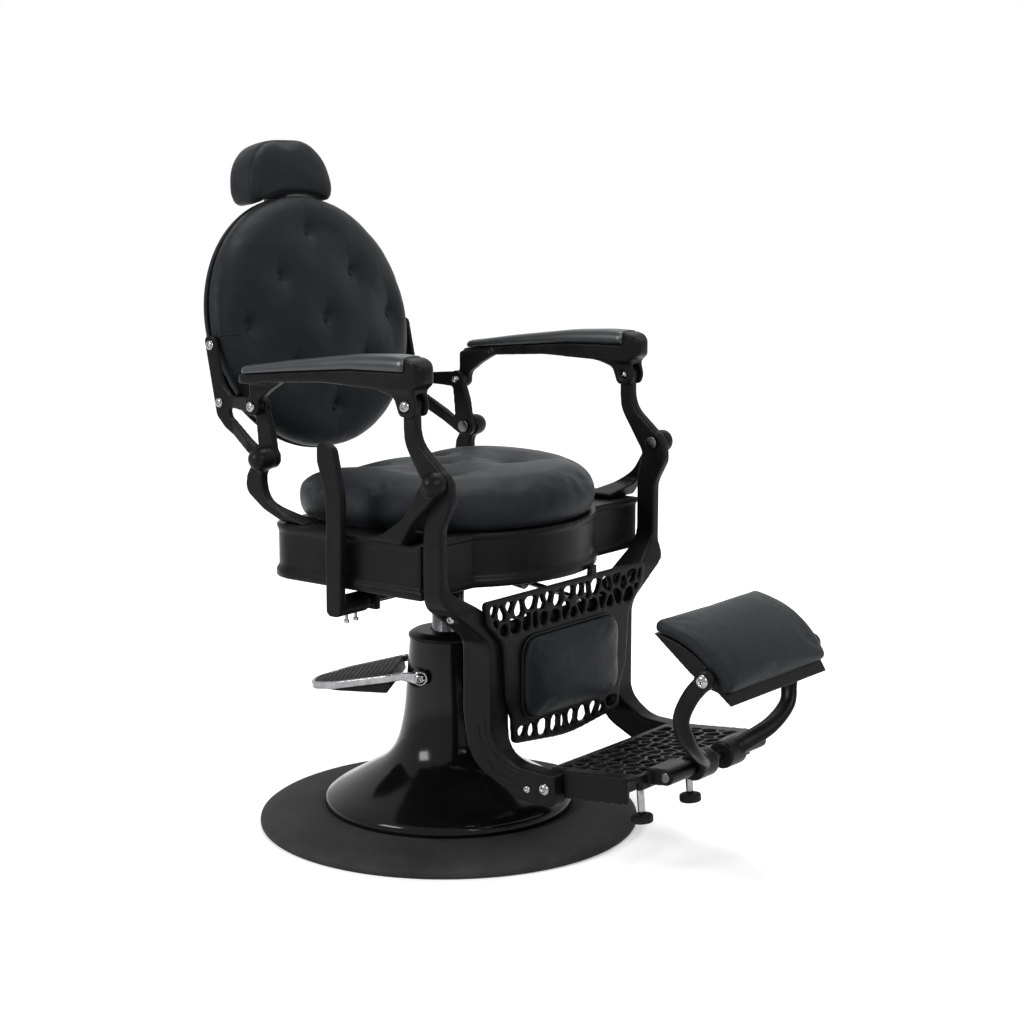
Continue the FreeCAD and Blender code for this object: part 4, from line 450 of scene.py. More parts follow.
def upholster(piece, body, material, slot, fill, *stands_for):
    """Finishes a stuffed skin: one even subdivision, its leather and its body. fill is not used."""
    smooth = piece.modifiers.new("fine_skin", "SUBSURF")
    smooth.levels = smooth.render_levels = 1
    fit(piece, body, material, slot, *stands_for)
    return piece


black_leather = leather("black_leather", (0.0036, 0.0042, 0.0060), (0.0062, 0.0071, 0.0098), (0.34, 0.48),
                        0.0017, 0.0008)
seat_low, seat_top, seat_radius, seat_back = 0.5525, 0.6345, 0.252, 0.156
seat_angle = np.linspace(0, 2 * math.pi, 180, endpoint=False)
seat_reach = (seat_radius ** -24 + (np.maximum(np.sin(seat_angle), 0) / seat_back) ** 24) ** (-1 / 24)
seat_place = np.eye(4)
seat_place[1, 3] = 0.004
seat_outline = np.stack([seat_reach * np.cos(seat_angle), seat_reach * np.sin(seat_angle)], -1)
seat_rows = pad_rows(seat_low, seat_top, 0.006, 0.030, 0.005, 0.009)
seat_pad = pillow("seat_pad", seat_outline, seat_rows, seat_place)
even_skin(seat_pad, 0.005)
seat_buttons_at = np.array([(0, 0.014), (0.086, 0.102), (0.086, -0.074), (-0.086, 0.102), (-0.086, -0.074)])
seat_up = np.array([0.0, 0.0, 1.0])
button_spots = np.column_stack([seat_buttons_at, np.full(5, seat_top - 0.002)])
skin = points_of(seat_pad.data)
on_top = skin[:, 2] > seat_low + 0.045
skin[on_top] = buttoned(skin[on_top], seat_up, button_spots, 0.013, 0.024)
put_points(seat_pad.data, skin)
near_button = np.min(np.linalg.norm(skin[:, None, :2] - seat_buttons_at[None], axis=2), axis=1) < 0.011
stuffed(seat_pad, (skin[:, 2] < seat_low + 0.004) | (near_button & on_top), 3.2, 0.007)
skin = points_of(seat_pad.data)
sunk_skin = buttoned(skin, seat_up, button_spots, 0.006, 0.014)
put_points(seat_pad.data, np.where(on_top[:, None], sunk_skin, skin))
upholster(seat_pad, "seat", black_leather, "upholstery", 0.85, "seat_cushion")


def covered_button(name, spot, out, radius, height):
    """Leather-covered button: a dome, height * (1 - r^2.6), over a short skirt, about the axis out."""
    share = np.linspace(0, 1, 12)
    dome = np.stack([radius * share, height * (1 - share ** 2.6)], -1)
    line = np.concatenate([dome, [[radius * 0.9, -0.004], [0, -0.004]]])
    return aimed(turned(name, line, 40), spot, out)


def on_skin(piece, starts, directions, lift=0.0):
    """Where rays from starts along directions meet a piece's own mesh, raised by lift against the ray."""
    mesh = piece.data
    mesh.calc_loop_triangles()
    faces = [t.vertices for t in mesh.loop_triangles]
    tree = BVHTree.FromPolygons([v.co for v in mesh.vertices], faces)
    met = []
    for start, ray in zip(starts, directions):
        hit = tree.ray_cast(Vector(start), Vector(ray))[0]
        if hit is not None:
            met.append(np.array(hit) - lift * np.array(ray))
    return np.array(met)


for k, spot in enumerate(seat_buttons_at):
    floor = on_skin(seat_pad, [(*spot, 0.8)], [(0, 0, -1)])[0]
    button = covered_button(f"seat_button_{k}", floor + 0.0008 * seat_up, seat_up, 0.0095, 0.0042)
    fit(button, "seat", black_leather, "upholstery", *(["seat_buttons"] if k == 0 else []))

# Rear posts and front horns: curved castings bolted to the seat frame's deck, one pair each side.
# The posts end in round recline balls and the horns in domed knee pivots, with steel pins through them.

for side in ("right", "left"):
    cast("rear_post_" + side, 0.0018, 14, satin, "casting")
    cast("front_horn_" + side, 0.0018, 14, satin, "casting")
dress("recline_pins", 0.0008, ram_steel, "bright")
dress("knee_pins", 0.0008, ram_steel, "bright")

# Recline lever: a curved flat bar on the right, clamped by two set screws on a shaft under the seat.
# Its bracket is bolted under the deck.

cast("recline_lever", 0.0018, 10, satin, "casting")
dress("lever_shaft", 0.0008, ram_steel, "steel")
dress("lever_screws", 0.0005, chrome, "bright")
dress("lever_bracket", 0.0012, satin, "steel")

# Locking gas spring: a black tube and a bright rod between the seat and the leg frame.
# It holds the recline where the lever leaves it.

tube_coat = coat("tube_coat", (0.006, 0.006, 0.006), (0.009, 0.009, 0.0095), (0.3, 0.4),
                 0.05, 0.001, 0.00005)
dress("gas_spring_tube", 0.0010, tube_coat, "gas_coat")
dress("gas_spring_rod", 0.0006, chrome, "steel")
dress("gas_bracket", 0.0012, satin, "steel")

# Back irons: side brackets with an open triangle, from the recline balls to straps along the back's sides.
# Each strap is held by two bright button-head bolts.

for side in ("right", "left"):
    cast("back_iron_" + side, 0.0016, 6, satin, "casting")
back_tilt = math.radians(11.5)
back_across = np.array([1.0, 0.0, 0.0])
back_up = np.array([0.0, math.sin(back_tilt), math.cos(back_tilt)])
back_out = np.array([0.0, -math.cos(back_tilt), math.sin(back_tilt)])
back_middle = np.array([0.0, 0.315, 0.856])


def across_bolts(name, body, places, radius, height, shank, stands_for):
    """Bright button-head bolts across the chair, mirrored on both sides, at (x, y, z) of their seats."""
    for k, (x, y, z) in enumerate(places):
        for sign, side in ((-1, "right"), (1, "left")):
            bolt = socket_bolt(f"{name}_{k}_{side}", (sign * x, y, z), (sign, 0, 0), radius, height, shank)
            first = stands_for and k == 0 and sign < 0
            fit(bolt, body, chrome, "bright", *([stands_for] if first else []))


iron_heights = np.array([0.832, 0.736])
iron_depths = back_middle[1] + (iron_heights - back_middle[2]) * math.tan(back_tilt)
iron_places = [(0.2535, y, z) for y, z in zip(iron_depths, iron_heights)]
across_bolts("iron_bolt", "back", iron_places, 0.0085, 0.0042, 0.004, "iron_bolts")

# Back: an oval board and foam in black leather, with nine buttons drawn in.
# The front leather rolls over the edge to a seam, and a darker band behind it runs to the flat rear panel.

back_place = np.eye(4)
back_place[:3, :3] = np.stack([back_across, back_up, back_out], 1)
back_place[:3, 3] = back_middle
oval_angle = np.linspace(0, 2 * math.pi, 200, endpoint=False)


def oval(half_width, half_height):
    """Points of an ellipse, counter-clockwise."""
    return np.stack([half_width * np.cos(oval_angle), half_height * np.sin(oval_angle)], -1)


band_leather = leather("band_leather", (0.0036, 0.0040, 0.0052), (0.0060, 0.0065, 0.0082), (0.40, 0.52),
                       0.0017, 0.0006)
band_inner = np.linspace(0, 0.95, 14)
band_turn = np.linspace(0, math.pi / 2, 9)
band_rows = [(k, 0.018, -0.0256 - 0.0008 * (1 - k * k)) for k in band_inner]
band_rows += [(1, 0.018 * (1 - math.sin(a)), -0.0256 + 0.012 * (1 - math.cos(a))) for a in band_turn]
band_rows += [(1, 0.0, -0.0125), (1, 0.0008, -0.0115), (1, 0.003, -0.011)]
band_rows += [(k, 0.006, -0.010) for k in band_inner[::-1]]
back_band = pillow("back_band", oval(0.2415, 0.2245), band_rows, back_place)
fit(back_band, "back", band_leather, "upholstery", "back_shell")

back_wide, back_high, back_top, back_fall = 0.2408, 0.2238, 0.0490, 0.021
back_rows = pad_rows(-0.0112, back_top, 0.002, 0.027, 0.0012, back_fall, 16)
back_pad = pillow("back_pad", oval(back_wide, back_high), back_rows, back_place)
even_skin(back_pad, 0.005)
tuft_across, tuft_up = 0.090, 0.078
tuft_grid = [(0, 0), (0, 2), (0, -2), (2, 0), (-2, 0), (1, 1), (-1, 1), (1, -1), (-1, -1)]
back_tufts = np.array(tuft_grid) * (tuft_across, tuft_up)


def to_back(places):
    """Row-frame places as (across, up, out) of the back."""
    return (places - back_middle) @ back_place[:3, :3]


def from_back(places):
    """(across, up, out) places of the back in the row frame."""
    return np.asarray(places, float) @ back_place[:3, :3].T + back_middle


skin = to_back(points_of(back_pad.data))
front = skin[:, 2] > 0.016
tuft_share = (back_tufts[:, 0] / back_wide) ** 2 + (back_tufts[:, 1] / back_high) ** 2
tuft_crown = back_top - back_fall * tuft_share
tuft_spots = np.column_stack([back_tufts, tuft_crown])
out_local = np.array([0.0, 0.0, 1.0])
skin[front] = buttoned(skin[front], out_local, tuft_spots, 0.010, 0.019)
put_points(back_pad.data, from_back(skin))
near_tuft = np.min(np.linalg.norm(skin[:, None, :2] - back_tufts[None], axis=2), axis=1) < 0.010
stuffed(back_pad, (skin[:, 2] < -0.006) | (near_tuft & front), 2.4, 0.0045)
skin = to_back(points_of(back_pad.data))


def pucker(skin, spots, depth, width, length):
    """Short upright fold above and below each button: depth * exp(-(x / width)^2) * exp(-|y| / length)."""
    sunk = np.zeros(len(skin))
    for x, y, _ in spots:
        dx, dy = skin[:, 0] - x, skin[:, 1] - y
        lean = 0.18 * np.sin(37 * x + 23 * y)
        fold = np.exp(-((dx - lean * dy) / width) ** 2) * np.exp(-np.abs(dy) / length)
        sunk = np.maximum(sunk, depth * fold)
    return sunk


skin[front] = buttoned(skin[front], out_local, tuft_spots, 0.0045, 0.011)
skin[:, 2] -= front * pucker(skin, tuft_spots, 0.0036, 0.0042, 0.018)
put_points(back_pad.data, from_back(skin))
upholster(back_pad, "back", black_leather, "upholstery", 0.8, "back_cushion")
for k, (x, y) in enumerate(back_tufts):
    floor = on_skin(back_pad, [from_back((x, y, 0.12))], [-back_out])[0]
    button = covered_button(f"back_button_{k}", floor + 0.0006 * back_out, back_out, 0.0092, 0.0040)
    fit(button, "back", black_leather, "upholstery", *(["back_buttons"] if k == 0 else []))


def tube(name, path, radius, sides=8, closed=False):
    """Round cord of one radius carried along an (n, 3) path: rings square to the local direction."""
    if closed:
        along = np.roll(path, -1, 0) - np.roll(path, 1, 0)
    else:
        along = np.gradient(path, axis=0)
    along = along / np.linalg.norm(along, axis=1)[:, None]
    guide = np.array([0.31, 0.22, 0.92])
    across = np.cross(along, guide)
    across = across / np.linalg.norm(across, axis=1)[:, None]
    up = np.cross(across, along)
    angle = np.linspace(0, 2 * math.pi, sides, endpoint=False)[None, :, None]
    ring = path[:, None] + radius * (np.cos(angle) * across[:, None] + np.sin(angle) * up[:, None])
    if not closed:
        ring = np.concatenate([path[None, :1].repeat(sides, 1), ring, path[None, -1:].repeat(sides, 1)])
    return surface(name, ring, ring_rows=closed, ring_columns=True)


seam_angle = np.linspace(math.radians(-62), math.radians(74), 26)
for sign, side in ((-1, "right"), (1, "left")):
    starts = from_back(np.stack([sign * 0.20 + sign * 0.12 * np.cos(seam_angle), np.full(26, -0.012),
                                 0.010 + 0.12 * np.sin(seam_angle)], -1))
    aims = np.stack([-sign * np.cos(seam_angle), 0 * seam_angle, -np.sin(seam_angle)], -1)
    aims = aims @ back_place[:3, :3].T
    path = on_skin(back_pad, starts, aims, 0.0002)
    fit(tube("back_side_seam_" + side, path, 0.0011), "back", band_leather, "upholstery")

# Headrest: a boxed leather pillow with a saddle underside, on a flat steel post.
# The post slides in a cast guide behind the back and a knob clamps it.


def evened(line, count):
    """A closed line resampled to count points an equal way apart."""
    ring = np.concatenate([line, line[:1]])
    way = np.concatenate([[0], np.cumsum(np.linalg.norm(np.diff(ring, axis=0), axis=1))])
    stops = np.linspace(0, way[-1], count, endpoint=False)
    return np.stack([np.interp(stops, way, ring[:, k]) for k in range(ring.shape[1])], -1)


def boxed_rows(low, high, edge, bulge, crown, rings=12):
    """Rows of a boxed pad: both faces crowned, both edges rounded to a quarter circle of size edge, and the
    sides swollen by bulge."""
    inner = np.linspace(0, 0.93, rings)
    turn = np.linspace(0, math.pi / 2, 7)
    rows = [(k, edge, low + crown * k * k) for k in inner]
    rows += [(1, edge * (1 - math.sin(a)), low + crown + edge * (1 - math.cos(a))) for a in turn]
    rows += [(1, -bulge * math.sin(math.pi * s), low + crown + edge + (high - low - 2 * (crown + edge)) * s)
             for s in np.linspace(0.1, 0.9, 7)]
    rows += [(1, edge * (1 - math.cos(a)), high - crown - edge * (1 - math.sin(a))) for a in turn]
    rows += [(k, edge, high - crown * k * k) for k in inner[::-1]]
    return rows


head_half = [(0.0935, 0.2120, 0.016), (0.1045, 0.238, 0.018), (0.0955, 0.286, 0.034),
             (0.056, 0.3235, 0.045)]
saddle = [(-0.066, 0.222, 0.02), (-0.030, 0.2295, 0.02), (0.030, 0.2295, 0.02), (0.066, 0.222, 0.02)]
head_line = head_half + [(-x, y, bend) for x, y, bend in head_half[::-1]] + saddle
head_rear, head_front = -0.0560, 0.0200
head_outline = evened(eased(head_line), 160)
head_rows = boxed_rows(head_rear, head_front, 0.013, 0.0015, 0.004)
head_pad = pillow("headrest_pad", head_outline, head_rows, back_place)
even_skin(head_pad, 0.004)
skin = to_back(points_of(head_pad.data))
saddled = (skin[:, 1] < 0.2265) & (np.abs(skin[:, 0]) < 0.06)
stuffed(head_pad, (skin[:, 2] < head_rear + 0.0015) | saddled, 3.0, 0.003)
upholster(head_pad, "headrest", black_leather, "upholstery", 0.9, "headrest_cushion")


def stitches(name, path, pitch, length, radius):
    """Thread stitches along a path: every pitch, an ellipsoid of the given length and radius."""
    way = np.concatenate([[0], np.cumsum(np.linalg.norm(np.diff(path, axis=0), axis=1))])
    middle = np.arange(pitch / 2, way[-1], pitch)
    spot = np.stack([np.interp(middle, way, path[:, k]) for k in range(3)], -1)
    tip = np.stack([np.interp(middle + pitch / 4, way, path[:, k]) for k in range(3)], -1)
    along = (tip - spot) / np.maximum(np.linalg.norm(tip - spot, axis=1), 1e-9)[:, None]
    across = np.cross(along, (0.31, 0.22, 0.92))
    across = across / np.linalg.norm(across, axis=1)[:, None]
    up = np.cross(across, along)
    t = np.linspace(-1, 1, 6)[None, :, None, None]
    a = np.linspace(0, 2 * math.pi, 6, endpoint=False)[None, None, :, None]
    fat = radius * np.sqrt(np.maximum(1 - t ** 2, 0))
    axes = [axis[:, None, None] for axis in (spot, along, across, up)]
    grid = axes[0] + t * length / 2 * axes[1] + fat * (np.cos(a) * axes[2] + np.sin(a) * axes[3])
    count = len(spot)
    k, r, c = np.meshgrid(np.arange(count), np.arange(5), np.arange(6), indexing="ij")
    first = k * 36 + r * 6
    beside = (c + 1) % 6
    quads = np.stack([first + c, first + beside, first + 6 + beside, first + 6 + c], -1)
    mesh = bpy.data.meshes.new(name)
    mesh.from_pydata(grid.reshape(-1, 3), [], quads.reshape(-1, 4).tolist())
    tidy_faces(mesh)
    piece = bpy.data.objects.new(name, mesh)
    bpy.context.scene.collection.objects.link(piece)
    return piece


thread = coat("black_thread", (0.012, 0.012, 0.014), (0.020, 0.020, 0.023), (0.5, 0.62),
              0.01, 0.0005, 0.0001)
stitch = (0.0046, 0.0034, 0.0005)
head_ring = evened(eased(head_line), 220)
ring_along = np.roll(head_ring, -1, 0) - np.roll(head_ring, 1, 0)
ring_out = np.stack([ring_along[:, 1], -ring_along[:, 0]], -1)
ring_out = ring_out / np.linalg.norm(ring_along, axis=1)[:, None]
head_seam_depth = head_front - 0.0155


def head_loop(depth, lift):
    """A line round the headrest's boxing at a depth along the back's outward axis, laid on its skin."""
    starts = from_back(np.column_stack([head_ring + 0.03 * ring_out, np.full(len(head_ring), depth)]))
    aims = np.column_stack([-ring_out, np.zeros(len(head_ring))]) @ back_place[:3, :3].T
    return on_skin(head_pad, starts, aims, lift)


head_seam = tube("headrest_seam", head_loop(head_seam_depth, 0.0001), 0.0009, 6, True)
fit(head_seam, "headrest", band_leather, "upholstery")
for k, shift in enumerate((-0.0032, 0.0032)):
    run = stitches(f"headrest_stitches_{k}", head_loop(head_seam_depth + shift, 0.0002), *stitch)
    fit(run, "headrest", thread, "upholstery")
low_line = np.linspace(head_rear + 0.0025, head_seam_depth - 0.004, 24)
for sign, side in ((-1, "right"), (1, "left")):
    starts = from_back(np.column_stack([np.full(24, sign * 0.15), np.full(24, 0.240), low_line]))
    path = on_skin(head_pad, starts, np.tile([-sign, 0, 0], (24, 1)), 0.0002)
    run = stitches("headrest_low_stitches_" + side, path, *stitch)
    fit(run, "headrest", thread, "upholstery")
dress("headrest_post", 0.0012, ram_steel, "steel")
dress("headrest_guide", 0.0016, satin, "casting")
knob_line = eased([(0, 0, 0), (0.009, 0, 0), (0.009, 0.005, 0.001), (0.0142, 0.008, 0.002),
                   (0.0148, 0.020, 0.003), (0.012, 0.024, 0.003), (0, 0.024, 0)])
grip_plastic = coat("grip_plastic", (0.006, 0.006, 0.006), (0.010, 0.010, 0.0105), (0.35, 0.48),
                    0.02, 0.001, 0.00008)
knob = turned("headrest_knob_piece", knob_line, 72)
lobes = points_of(knob.data)
lobe_angle = np.arctan2(lobes[:, 1], lobes[:, 0])
flute = 1 - 0.05 * (0.5 + 0.5 * np.cos(9 * lobe_angle)) * (np.linalg.norm(lobes[:, :2], axis=1) > 0.0135)
put_points(knob.data, lobes * np.stack([flute, flute, np.ones(len(flute))], -1))
aimed(knob, from_back((0, 0.157, -0.0473)), -back_out)
fit(knob, "back", grip_plastic, "grip", "headrest_knob")

# Arms: cast beams that drop to the back irons and fork over the crank eyes, with long moulded pads on top.
# The pads are foam in a smooth black skin, thinner to the rear, and butt against the beam's front block.

arm_skin = coat("arm_skin", (0.0042, 0.0046, 0.0058), (0.0070, 0.0075, 0.0092), (0.28, 0.40),
                0.08, 0.0022, 0.00008, 0.0, 0.45)
section_points = 84
section_corners = [(-0.90, 0, 0.05), (0.90, 0, 0.05), (1.0, 0.20, 0.12), (0.99, 0.55, 0.2), (0.80, 0.93, 0.3),
                   (0, 1.0, 0.5), (-0.80, 0.93, 0.3), (-0.99, 0.55, 0.2), (-1.0, 0.20, 0.12)]
pad_section = evened(eased(section_corners, 10), section_points)
pad_front, pad_rear, pad_middle = -0.1716, 0.1840, 0.292
pad_tail = 0.955 + 0.045 * np.sin(np.linspace(0.1, math.pi / 2, 12))
pad_share = np.concatenate([[0, 0.003], np.linspace(0.008, 0.955, 70), pad_tail])
pad_y = pad_front + (pad_rear - pad_front) * pad_share
pad_low = np.interp(pad_y, [-0.172, -0.060, 0.072, 0.186], [0.8224, 0.8204, 0.8084, 0.7965])
pad_high = np.interp(pad_y, [-0.172, -0.142, -0.060, 0.072, 0.145, 0.186],
                     [0.8462, 0.8478, 0.8430, 0.8262, 0.8150, 0.8090])
soft = np.ones(9) / 9
pad_high[4:-4] = np.convolve(pad_high, soft, "valid")
end_share = np.clip((pad_rear - pad_y) / 0.017, 0, 1)
round_end = np.sqrt(np.maximum(1 - (1 - end_share) ** 2, 0))
nip = np.where(pad_y < pad_front + 0.0025, 0.965, 1.0)
pad_half = 0.0278 * nip * (0.94 + 0.06 * np.clip((0.12 - pad_y) / 0.2, 0, 1)) * round_end
for sign, side in ((-1, "right"), (1, "left")):
    across = sign * pad_middle + pad_half[:, None] * pad_section[None, :, 0]
    share = 0.5 + (pad_section[None, :, 1] - 0.5) * round_end[:, None]
    rise = pad_low[:, None] + (pad_high - pad_low)[:, None] * share
    grid = np.stack([across, pad_y[:, None] + 0 * across, rise], -1)
    poles = [end.mean(1, keepdims=True).repeat(section_points, 1) for end in (grid[:1], grid[-1:])]
    closed = np.concatenate([poles[0], grid, poles[1]])
    arm_pad = surface("arm_pad_piece_" + side, closed, ring_columns=True)
    fit(arm_pad, "arm_" + side, arm_skin, "arm_skin", "arm_pad_" + side)
    cast("arm_frame_" + side, 0.0018, 24, satin, "casting")
    front_seat, rear_seat = (sign * 0.310, -0.172, 0.769), (sign * 0.2832, 0.187, 0.7395)
    front_bolt = socket_bolt("arm_front_bolt_" + side, front_seat, (sign, 0, 0), 0.0095, 0.0050, 0.034)
    fit(front_bolt, "arm_" + side, chrome, "bright", "arm_pins_" + side)
    rear_bolt = socket_bolt("arm_rear_bolt_" + side, rear_seat, (sign, 0, 0), 0.0090, 0.0044, 0.037)
    fit(rear_bolt, "arm_" + side, chrome, "bright")

# Leg frame: a bell-crank casting each side, from the arm's fork over the knee down to a curved toe.
# A raised bead runs down the outer face, and bright bolts hold the tread at the toe.

bead_paths = {
    "high": [(-0.232, 0.300, 0), (-0.236, 0.246, 0.03), (-0.254, 0.206, 0.03), (-0.290, 0.186, 0.03),
             (-0.342, 0.178, 0)],
    "low": [(-0.222, 0.270, 0), (-0.226, 0.228, 0.03), (-0.246, 0.186, 0.03), (-0.284, 0.164, 0.03),
            (-0.312, 0.158, 0)],
}
leg_face = 0.198
for sign, side in ((-1, "right"), (1, "left")):
    cast("leg_casting_" + side, 0.0020, 14, satin, "casting")
    for height, corners in bead_paths.items():
        line = eased(corners, 12)[1:-1]
        path = np.column_stack([np.full(len(line), sign * (leg_face - 0.0006)), line])
        fit(tube(f"leg_bead_{height}_{side}", path, 0.0022, 10), "leg", satin, "casting")
across_bolts("toe_bolt", "leg", [(leg_face, -0.358, 0.166)], 0.0098, 0.0050, 0.006, "toe_bolts")
across_bolts("toe_screw", "leg", [(leg_face, -0.324, 0.160)], 0.0064, 0.0036, 0.006, None)

# Calf panel: a pierced plate across the legs, with a leather pad on its middle.
# A bar behind it carries the gas spring's end, and a bolt sunk in each leg's jog holds it.

cast("calf_panel", 0.0018, 4, satin, "casting")
dress("leg_crossbar", 0.0016, satin, "casting")
calf_place = np.array([[1, 0, 0, 0], [0, 0, -1, -0.2602], [0, 1, 0, 0], [0, 0, 0, 1.0]])
calf_corners = [(-0.128, 0.247, 0.036), (0.128, 0.247, 0.036), (0.128, 0.382, 0.036),
                (-0.128, 0.382, 0.036)]
calf_outline = evened(eased(calf_corners, 12), 150)
calf_rows = pad_rows(0.0, 0.0215, 0.003, 0.012, 0.001, 0.006)
calf_cushion = pillow("calf_cushion", calf_outline, calf_rows, calf_place)
even_skin(calf_cushion, 0.004)
skin = points_of(calf_cushion.data)
stuffed(calf_cushion, skin[:, 1] > -0.2632, 3.0, 0.0035)
upholster(calf_cushion, "leg", black_leather, "upholstery", 0.9, "calf_pad")
calf_middle = calf_outline.mean(0)
welt_line = calf_middle + (calf_outline - calf_middle) * (1.012, 1.018)
welt = np.column_stack([welt_line[:, 0], np.full(len(welt_line), -0.2622), welt_line[:, 1]])
fit(tube("calf_welt", welt, 0.0021, 8, True), "leg", band_leather, "upholstery")
across_bolts("panel_bolt", "leg", [(0.2615, -0.222, 0.432)], 0.0072, 0.0045, 0.0035, "panel_bolts")

# Footrest: a pierced tread plate with side skirts between the toes.
# Two rubber-footed stops hang below it.

cast("footrest", 0.0020, 4, satin, "casting")
dress("bumper_stems", 0.0008, chrome, "steel")
dress("bumper_feet", 0.0014, ribbed_rubber, "rubber")

# Foot pad yoke: two flaring arms on a hinge rod at the tread's front edge.
# They hold the foot pad's pivots with bright bolts.


def through(corners, steps=14):
    """Smooth path through (n, 3) corners: on each stretch the cubic whose slope at a corner is half the way
    between that corner's neighbours."""
    ends = np.concatenate([2 * corners[:1] - corners[1:2], corners, 2 * corners[-1:] - corners[-2:-1]])
    a, b, c, d = (ends[k:len(ends) - 3 + k, None] for k in range(4))
    t = np.linspace(0, 1, steps, endpoint=False)[None, :, None]
    square, cube = 2 * a - 5 * b + 4 * c - d, 3 * b - a - 3 * c + d
    run = 0.5 * (2 * b + (c - a) * t + square * t ** 2 + cube * t ** 3)
    return np.concatenate([run.reshape(-1, 3), corners[-1:]])


def oval_bar(name, path, deep, wide, sides=28):
    """Oval section carried along a path: deep is its half size in the side view, wide the one across."""
    along = np.gradient(path, axis=0)
    along = along / np.linalg.norm(along, axis=1)[:, None]
    rise = np.cross((1.0, 0.0, 0.0), along)
    rise = rise / np.linalg.norm(rise, axis=1)[:, None]
    across = np.cross(along, rise)
    angle = np.linspace(0, 2 * math.pi, sides, endpoint=False)[None, :, None]
    ring = path[:, None] + deep * np.cos(angle) * rise[:, None] + wide * np.sin(angle) * across[:, None]
    closed = np.concatenate([path[None, :1].repeat(sides, 1), ring, path[None, -1:].repeat(sides, 1)])
    return surface(name, closed, ring_columns=True)


def joined(first, *others):
    """Puts the meshes of several pieces into the first one."""
    work = bmesh.new()
    for piece in (first, *others):
        work.from_mesh(piece.data)
    work.to_mesh(first.data)
    work.free()
    for piece in others:
        bpy.data.objects.remove(piece)
    return first


yoke_hinge, yoke_pivot = np.array([0.0, -0.547, 0.206]), np.array([0.0, -0.627, 0.376])
hub_line = eased([(0, 0, 0), (0.0228, 0, 0.004), (0.0228, 0.048, 0.004), (0, 0.048, 0)])
lug_line = eased([(0, 0, 0), (0.0162, 0, 0.003), (0.0162, 0.015, 0.003), (0, 0.015, 0)])
yoke_route = np.array([(0.042, -0.548, 0.207), (0.062, -0.566, 0.222), (0.108, -0.585, 0.243),
                       (0.147, -0.592, 0.272), (0.160, -0.588, 0.308), (0.158, -0.602, 0.345),
                       (0.157, -0.627, 0.376)])
for sign, side in ((-1, "right"), (1, "left")):
    bar = oval_bar("yoke_arm_piece_" + side, through(yoke_route * (sign, 1, 1)), 0.0145, 0.0095)
    hub = aimed(turned("yoke_hub_" + side, hub_line, 64), yoke_hinge + (sign * 0.018, 0, 0), (sign, 0, 0))
    lug = aimed(turned("yoke_lug_" + side, lug_line, 64), yoke_pivot + (sign * 0.1495, 0, 0), (sign, 0, 0))
    arm = smoothed(even_skin(joined(bar, hub, lug), 0.0018), 8)
    fit(arm, "yoke", satin, "casting", "yoke_arm_" + side)
dress("yoke_rod", 0.0010, ram_steel, "steel")
across_bolts("pad_bolt", "yoke", [(0.1645, -0.627, 0.376)], 0.0108, 0.0050, 0.030, "pad_bolts")

# Foot pad: a barrel-arched cushion in leather on a cast tray.
# It tilts between the yoke's arms.

cast("foot_pad_tray", 0.0018, 5, satin, "casting")
arch_a, arch_b, arch_c = (np.array(p) for p in ((-0.524, 0.459), (-0.614, 0.430), (-0.673, 0.362)))
arch_lines = 2 * np.array([arch_b - arch_a, arch_c - arch_a])
arch_squares = [arch_b @ arch_b - arch_a @ arch_a, arch_c @ arch_c - arch_a @ arch_a]
arch_middle = np.linalg.solve(arch_lines, arch_squares)
arch_radius = np.linalg.norm(arch_a - arch_middle)
arch_start = math.atan2(*(arch_a - arch_middle)[::-1])
arch_end = math.atan2(*(arch_c - arch_middle)[::-1])
arch_length = arch_radius * (arch_end - arch_start)
foot_half, foot_thick = 0.1455, 0.026
foot_near, foot_far, foot_bend = 0.002, arch_length - 0.002, 0.012
foot_corners = [(-foot_half, foot_near, foot_bend), (foot_half, foot_near, foot_bend),
                (foot_half, foot_far, foot_bend), (-foot_half, foot_far, foot_bend)]
foot_outline = evened(eased(foot_corners, 10), 190)
foot_rows = pad_rows(0.0006, foot_thick - 0.0015, 0.002, 0.008, 0.001, 0.002)
foot_cushion = pillow("foot_cushion", foot_outline, foot_rows, np.eye(4))


def arched(flat):
    """Bends (x, way, height) over the arch: angle = start + way / radius, and the radius grows by height."""
    angle = arch_start + flat[:, 1] / arch_radius
    radius = arch_radius - foot_thick + flat[:, 2]
    y, z = arch_middle[0] + radius * np.cos(angle), arch_middle[1] + radius * np.sin(angle)
    return np.stack([flat[:, 0], y, z], -1)


put_points(foot_cushion.data, arched(points_of(foot_cushion.data)))
even_skin(foot_cushion, 0.0042)
skin = points_of(foot_cushion.data)
foot_rise = np.linalg.norm(skin[:, 1:] - arch_middle, axis=1) - (arch_radius - foot_thick)
stuffed(foot_cushion, foot_rise < 0.004, 3.0, 0.0030)
upholster(foot_cushion, "foot_rest_pad", black_leather, "upholstery", 0.9, "foot_pad")

# Studio: a pale floor, painted darker round the chair by a weaker glow there, a white surround and three soft
# boxes.
# Camera, glossy and transmission rays see the surround white. Other rays get a lower level.


def white_rays(tree):
    """Socket that is 1 for camera, glossy and transmission rays and 0 for others."""
    seen_by = node_of(tree, "LightPath")
    shown = node_of(tree, "Math", operation="MAXIMUM")
    shown_too = node_of(tree, "Math", operation="MAXIMUM")
    tree.links.new(seen_by.outputs["Is Camera Ray"], shown.inputs[0])
    tree.links.new(seen_by.outputs["Is Glossy Ray"], shown.inputs[1])
    tree.links.new(shown.outputs[0], shown_too.inputs[0])
    tree.links.new(seen_by.outputs["Is Transmission Ray"], shown_too.inputs[1])
    return shown_too.outputs[0]


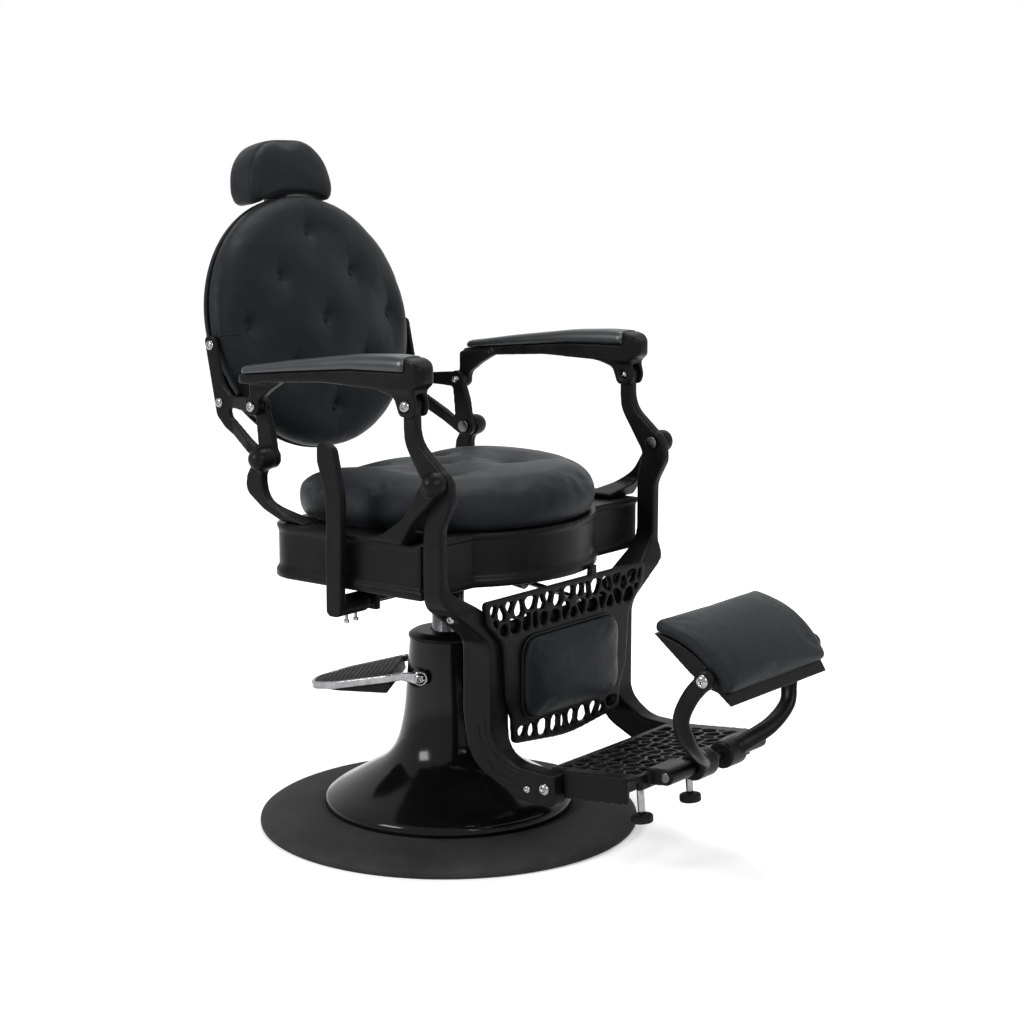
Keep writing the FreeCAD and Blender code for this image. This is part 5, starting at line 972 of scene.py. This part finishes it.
floor_size = 14.0
floor_edge = np.array([-floor_size, floor_size])
floor_x, floor_y = np.meshgrid(floor_edge, floor_edge, indexing="ij")
floor = surface("floor", np.stack([floor_x, floor_y, np.full((2, 2), -0.0002)], -1))
floor_paint = bpy.data.materials.new("floor_paint")
floor_paint.use_nodes = True
tree = floor_paint.node_tree
tree.nodes.clear()
matt = node_of(tree, "BsdfDiffuse", Color=(0.78, 0.78, 0.78, 1))
glow = node_of(tree, "Emission", Color=(1, 1, 1, 1))
place = node_of(tree, "TexCoord")
away = node_of(tree, "VectorMath", operation="LENGTH")
# Painted shade: the floor's glow for camera, glossy and transmission rays is weaker near the chair, 0.30
# within 0.3 m rising to 0.8 at 2.4 m, so the floor round the chair is darker.
painted_shade_round_chair = node_of(tree, "MapRange", **{"From Min": 0.3, "From Max": 2.4, "To Min": 0.30, "To Max": 0.8})
level = node_of(tree, "Math", operation="MULTIPLY")
tree.links.new(place.outputs["Object"], away.inputs[0])
tree.links.new(away.outputs["Value"], painted_shade_round_chair.inputs["Value"])
tree.links.new(painted_shade_round_chair.outputs["Result"], level.inputs[1])
both = node_of(tree, "AddShader")
out = node_of(tree, "OutputMaterial")
tree.links.new(white_rays(tree), level.inputs[0])
tree.links.new(level.outputs[0], glow.inputs["Strength"])
tree.links.new(matt.outputs[0], both.inputs[0])
tree.links.new(glow.outputs[0], both.inputs[1])
tree.links.new(both.outputs[0], out.inputs["Surface"])
floor.data.materials.append(floor_paint)

world = bpy.data.worlds.new("studio")
bpy.context.scene.world = world
world.use_nodes = True
tree = world.node_tree
tree.nodes.clear()
level = node_of(tree, "MapRange", **{"To Min": 0.34, "To Max": 1.0})
sky = node_of(tree, "Background", Color=(1, 1, 1, 1))
out = node_of(tree, "OutputWorld")
tree.links.new(white_rays(tree), level.inputs["Value"])
tree.links.new(level.outputs["Result"], sky.inputs["Strength"])
tree.links.new(sky.outputs[0], out.inputs["Surface"])


def soft_box(name, place, target, size, power):
    """Square area lamp at place, turned to target."""
    lamp = bpy.data.lights.new(name, "AREA")
    lamp.shape, lamp.size, lamp.energy = "SQUARE", size, power
    holder = bpy.data.objects.new(name, lamp)
    holder.location = place
    holder.rotation_euler = (Vector(target) - Vector(place)).to_track_quat("-Z", "Y").to_euler()
    bpy.context.scene.collection.objects.link(holder)


soft_box("front_box", (-1.2, -3.4, 2.4), (0, -0.1, 0.6), 1.4, 72)
soft_box("left_box", (-3.2, 1.1, 2.2), (0, 0.1, 0.7), 1.2, 110)
soft_box("top_box", (0.6, 0.2, 3.6), (0, 0, 0.6), 1.8, 95)

camera_data = bpy.data.cameras.new("photo_camera")
camera_data.lens, camera_data.sensor_width = 74.75, 36.0
camera = bpy.data.objects.new("photo_camera", camera_data)
bpy.context.scene.collection.objects.link(camera)
camera.location = (-2.7728, -2.2978, 1.1662)
camera.rotation_euler = (math.radians(90 - 9.801), 0, math.radians(-52.108))
bpy.context.scene.camera = camera
bpy.context.scene.view_settings.view_transform = "Standard"
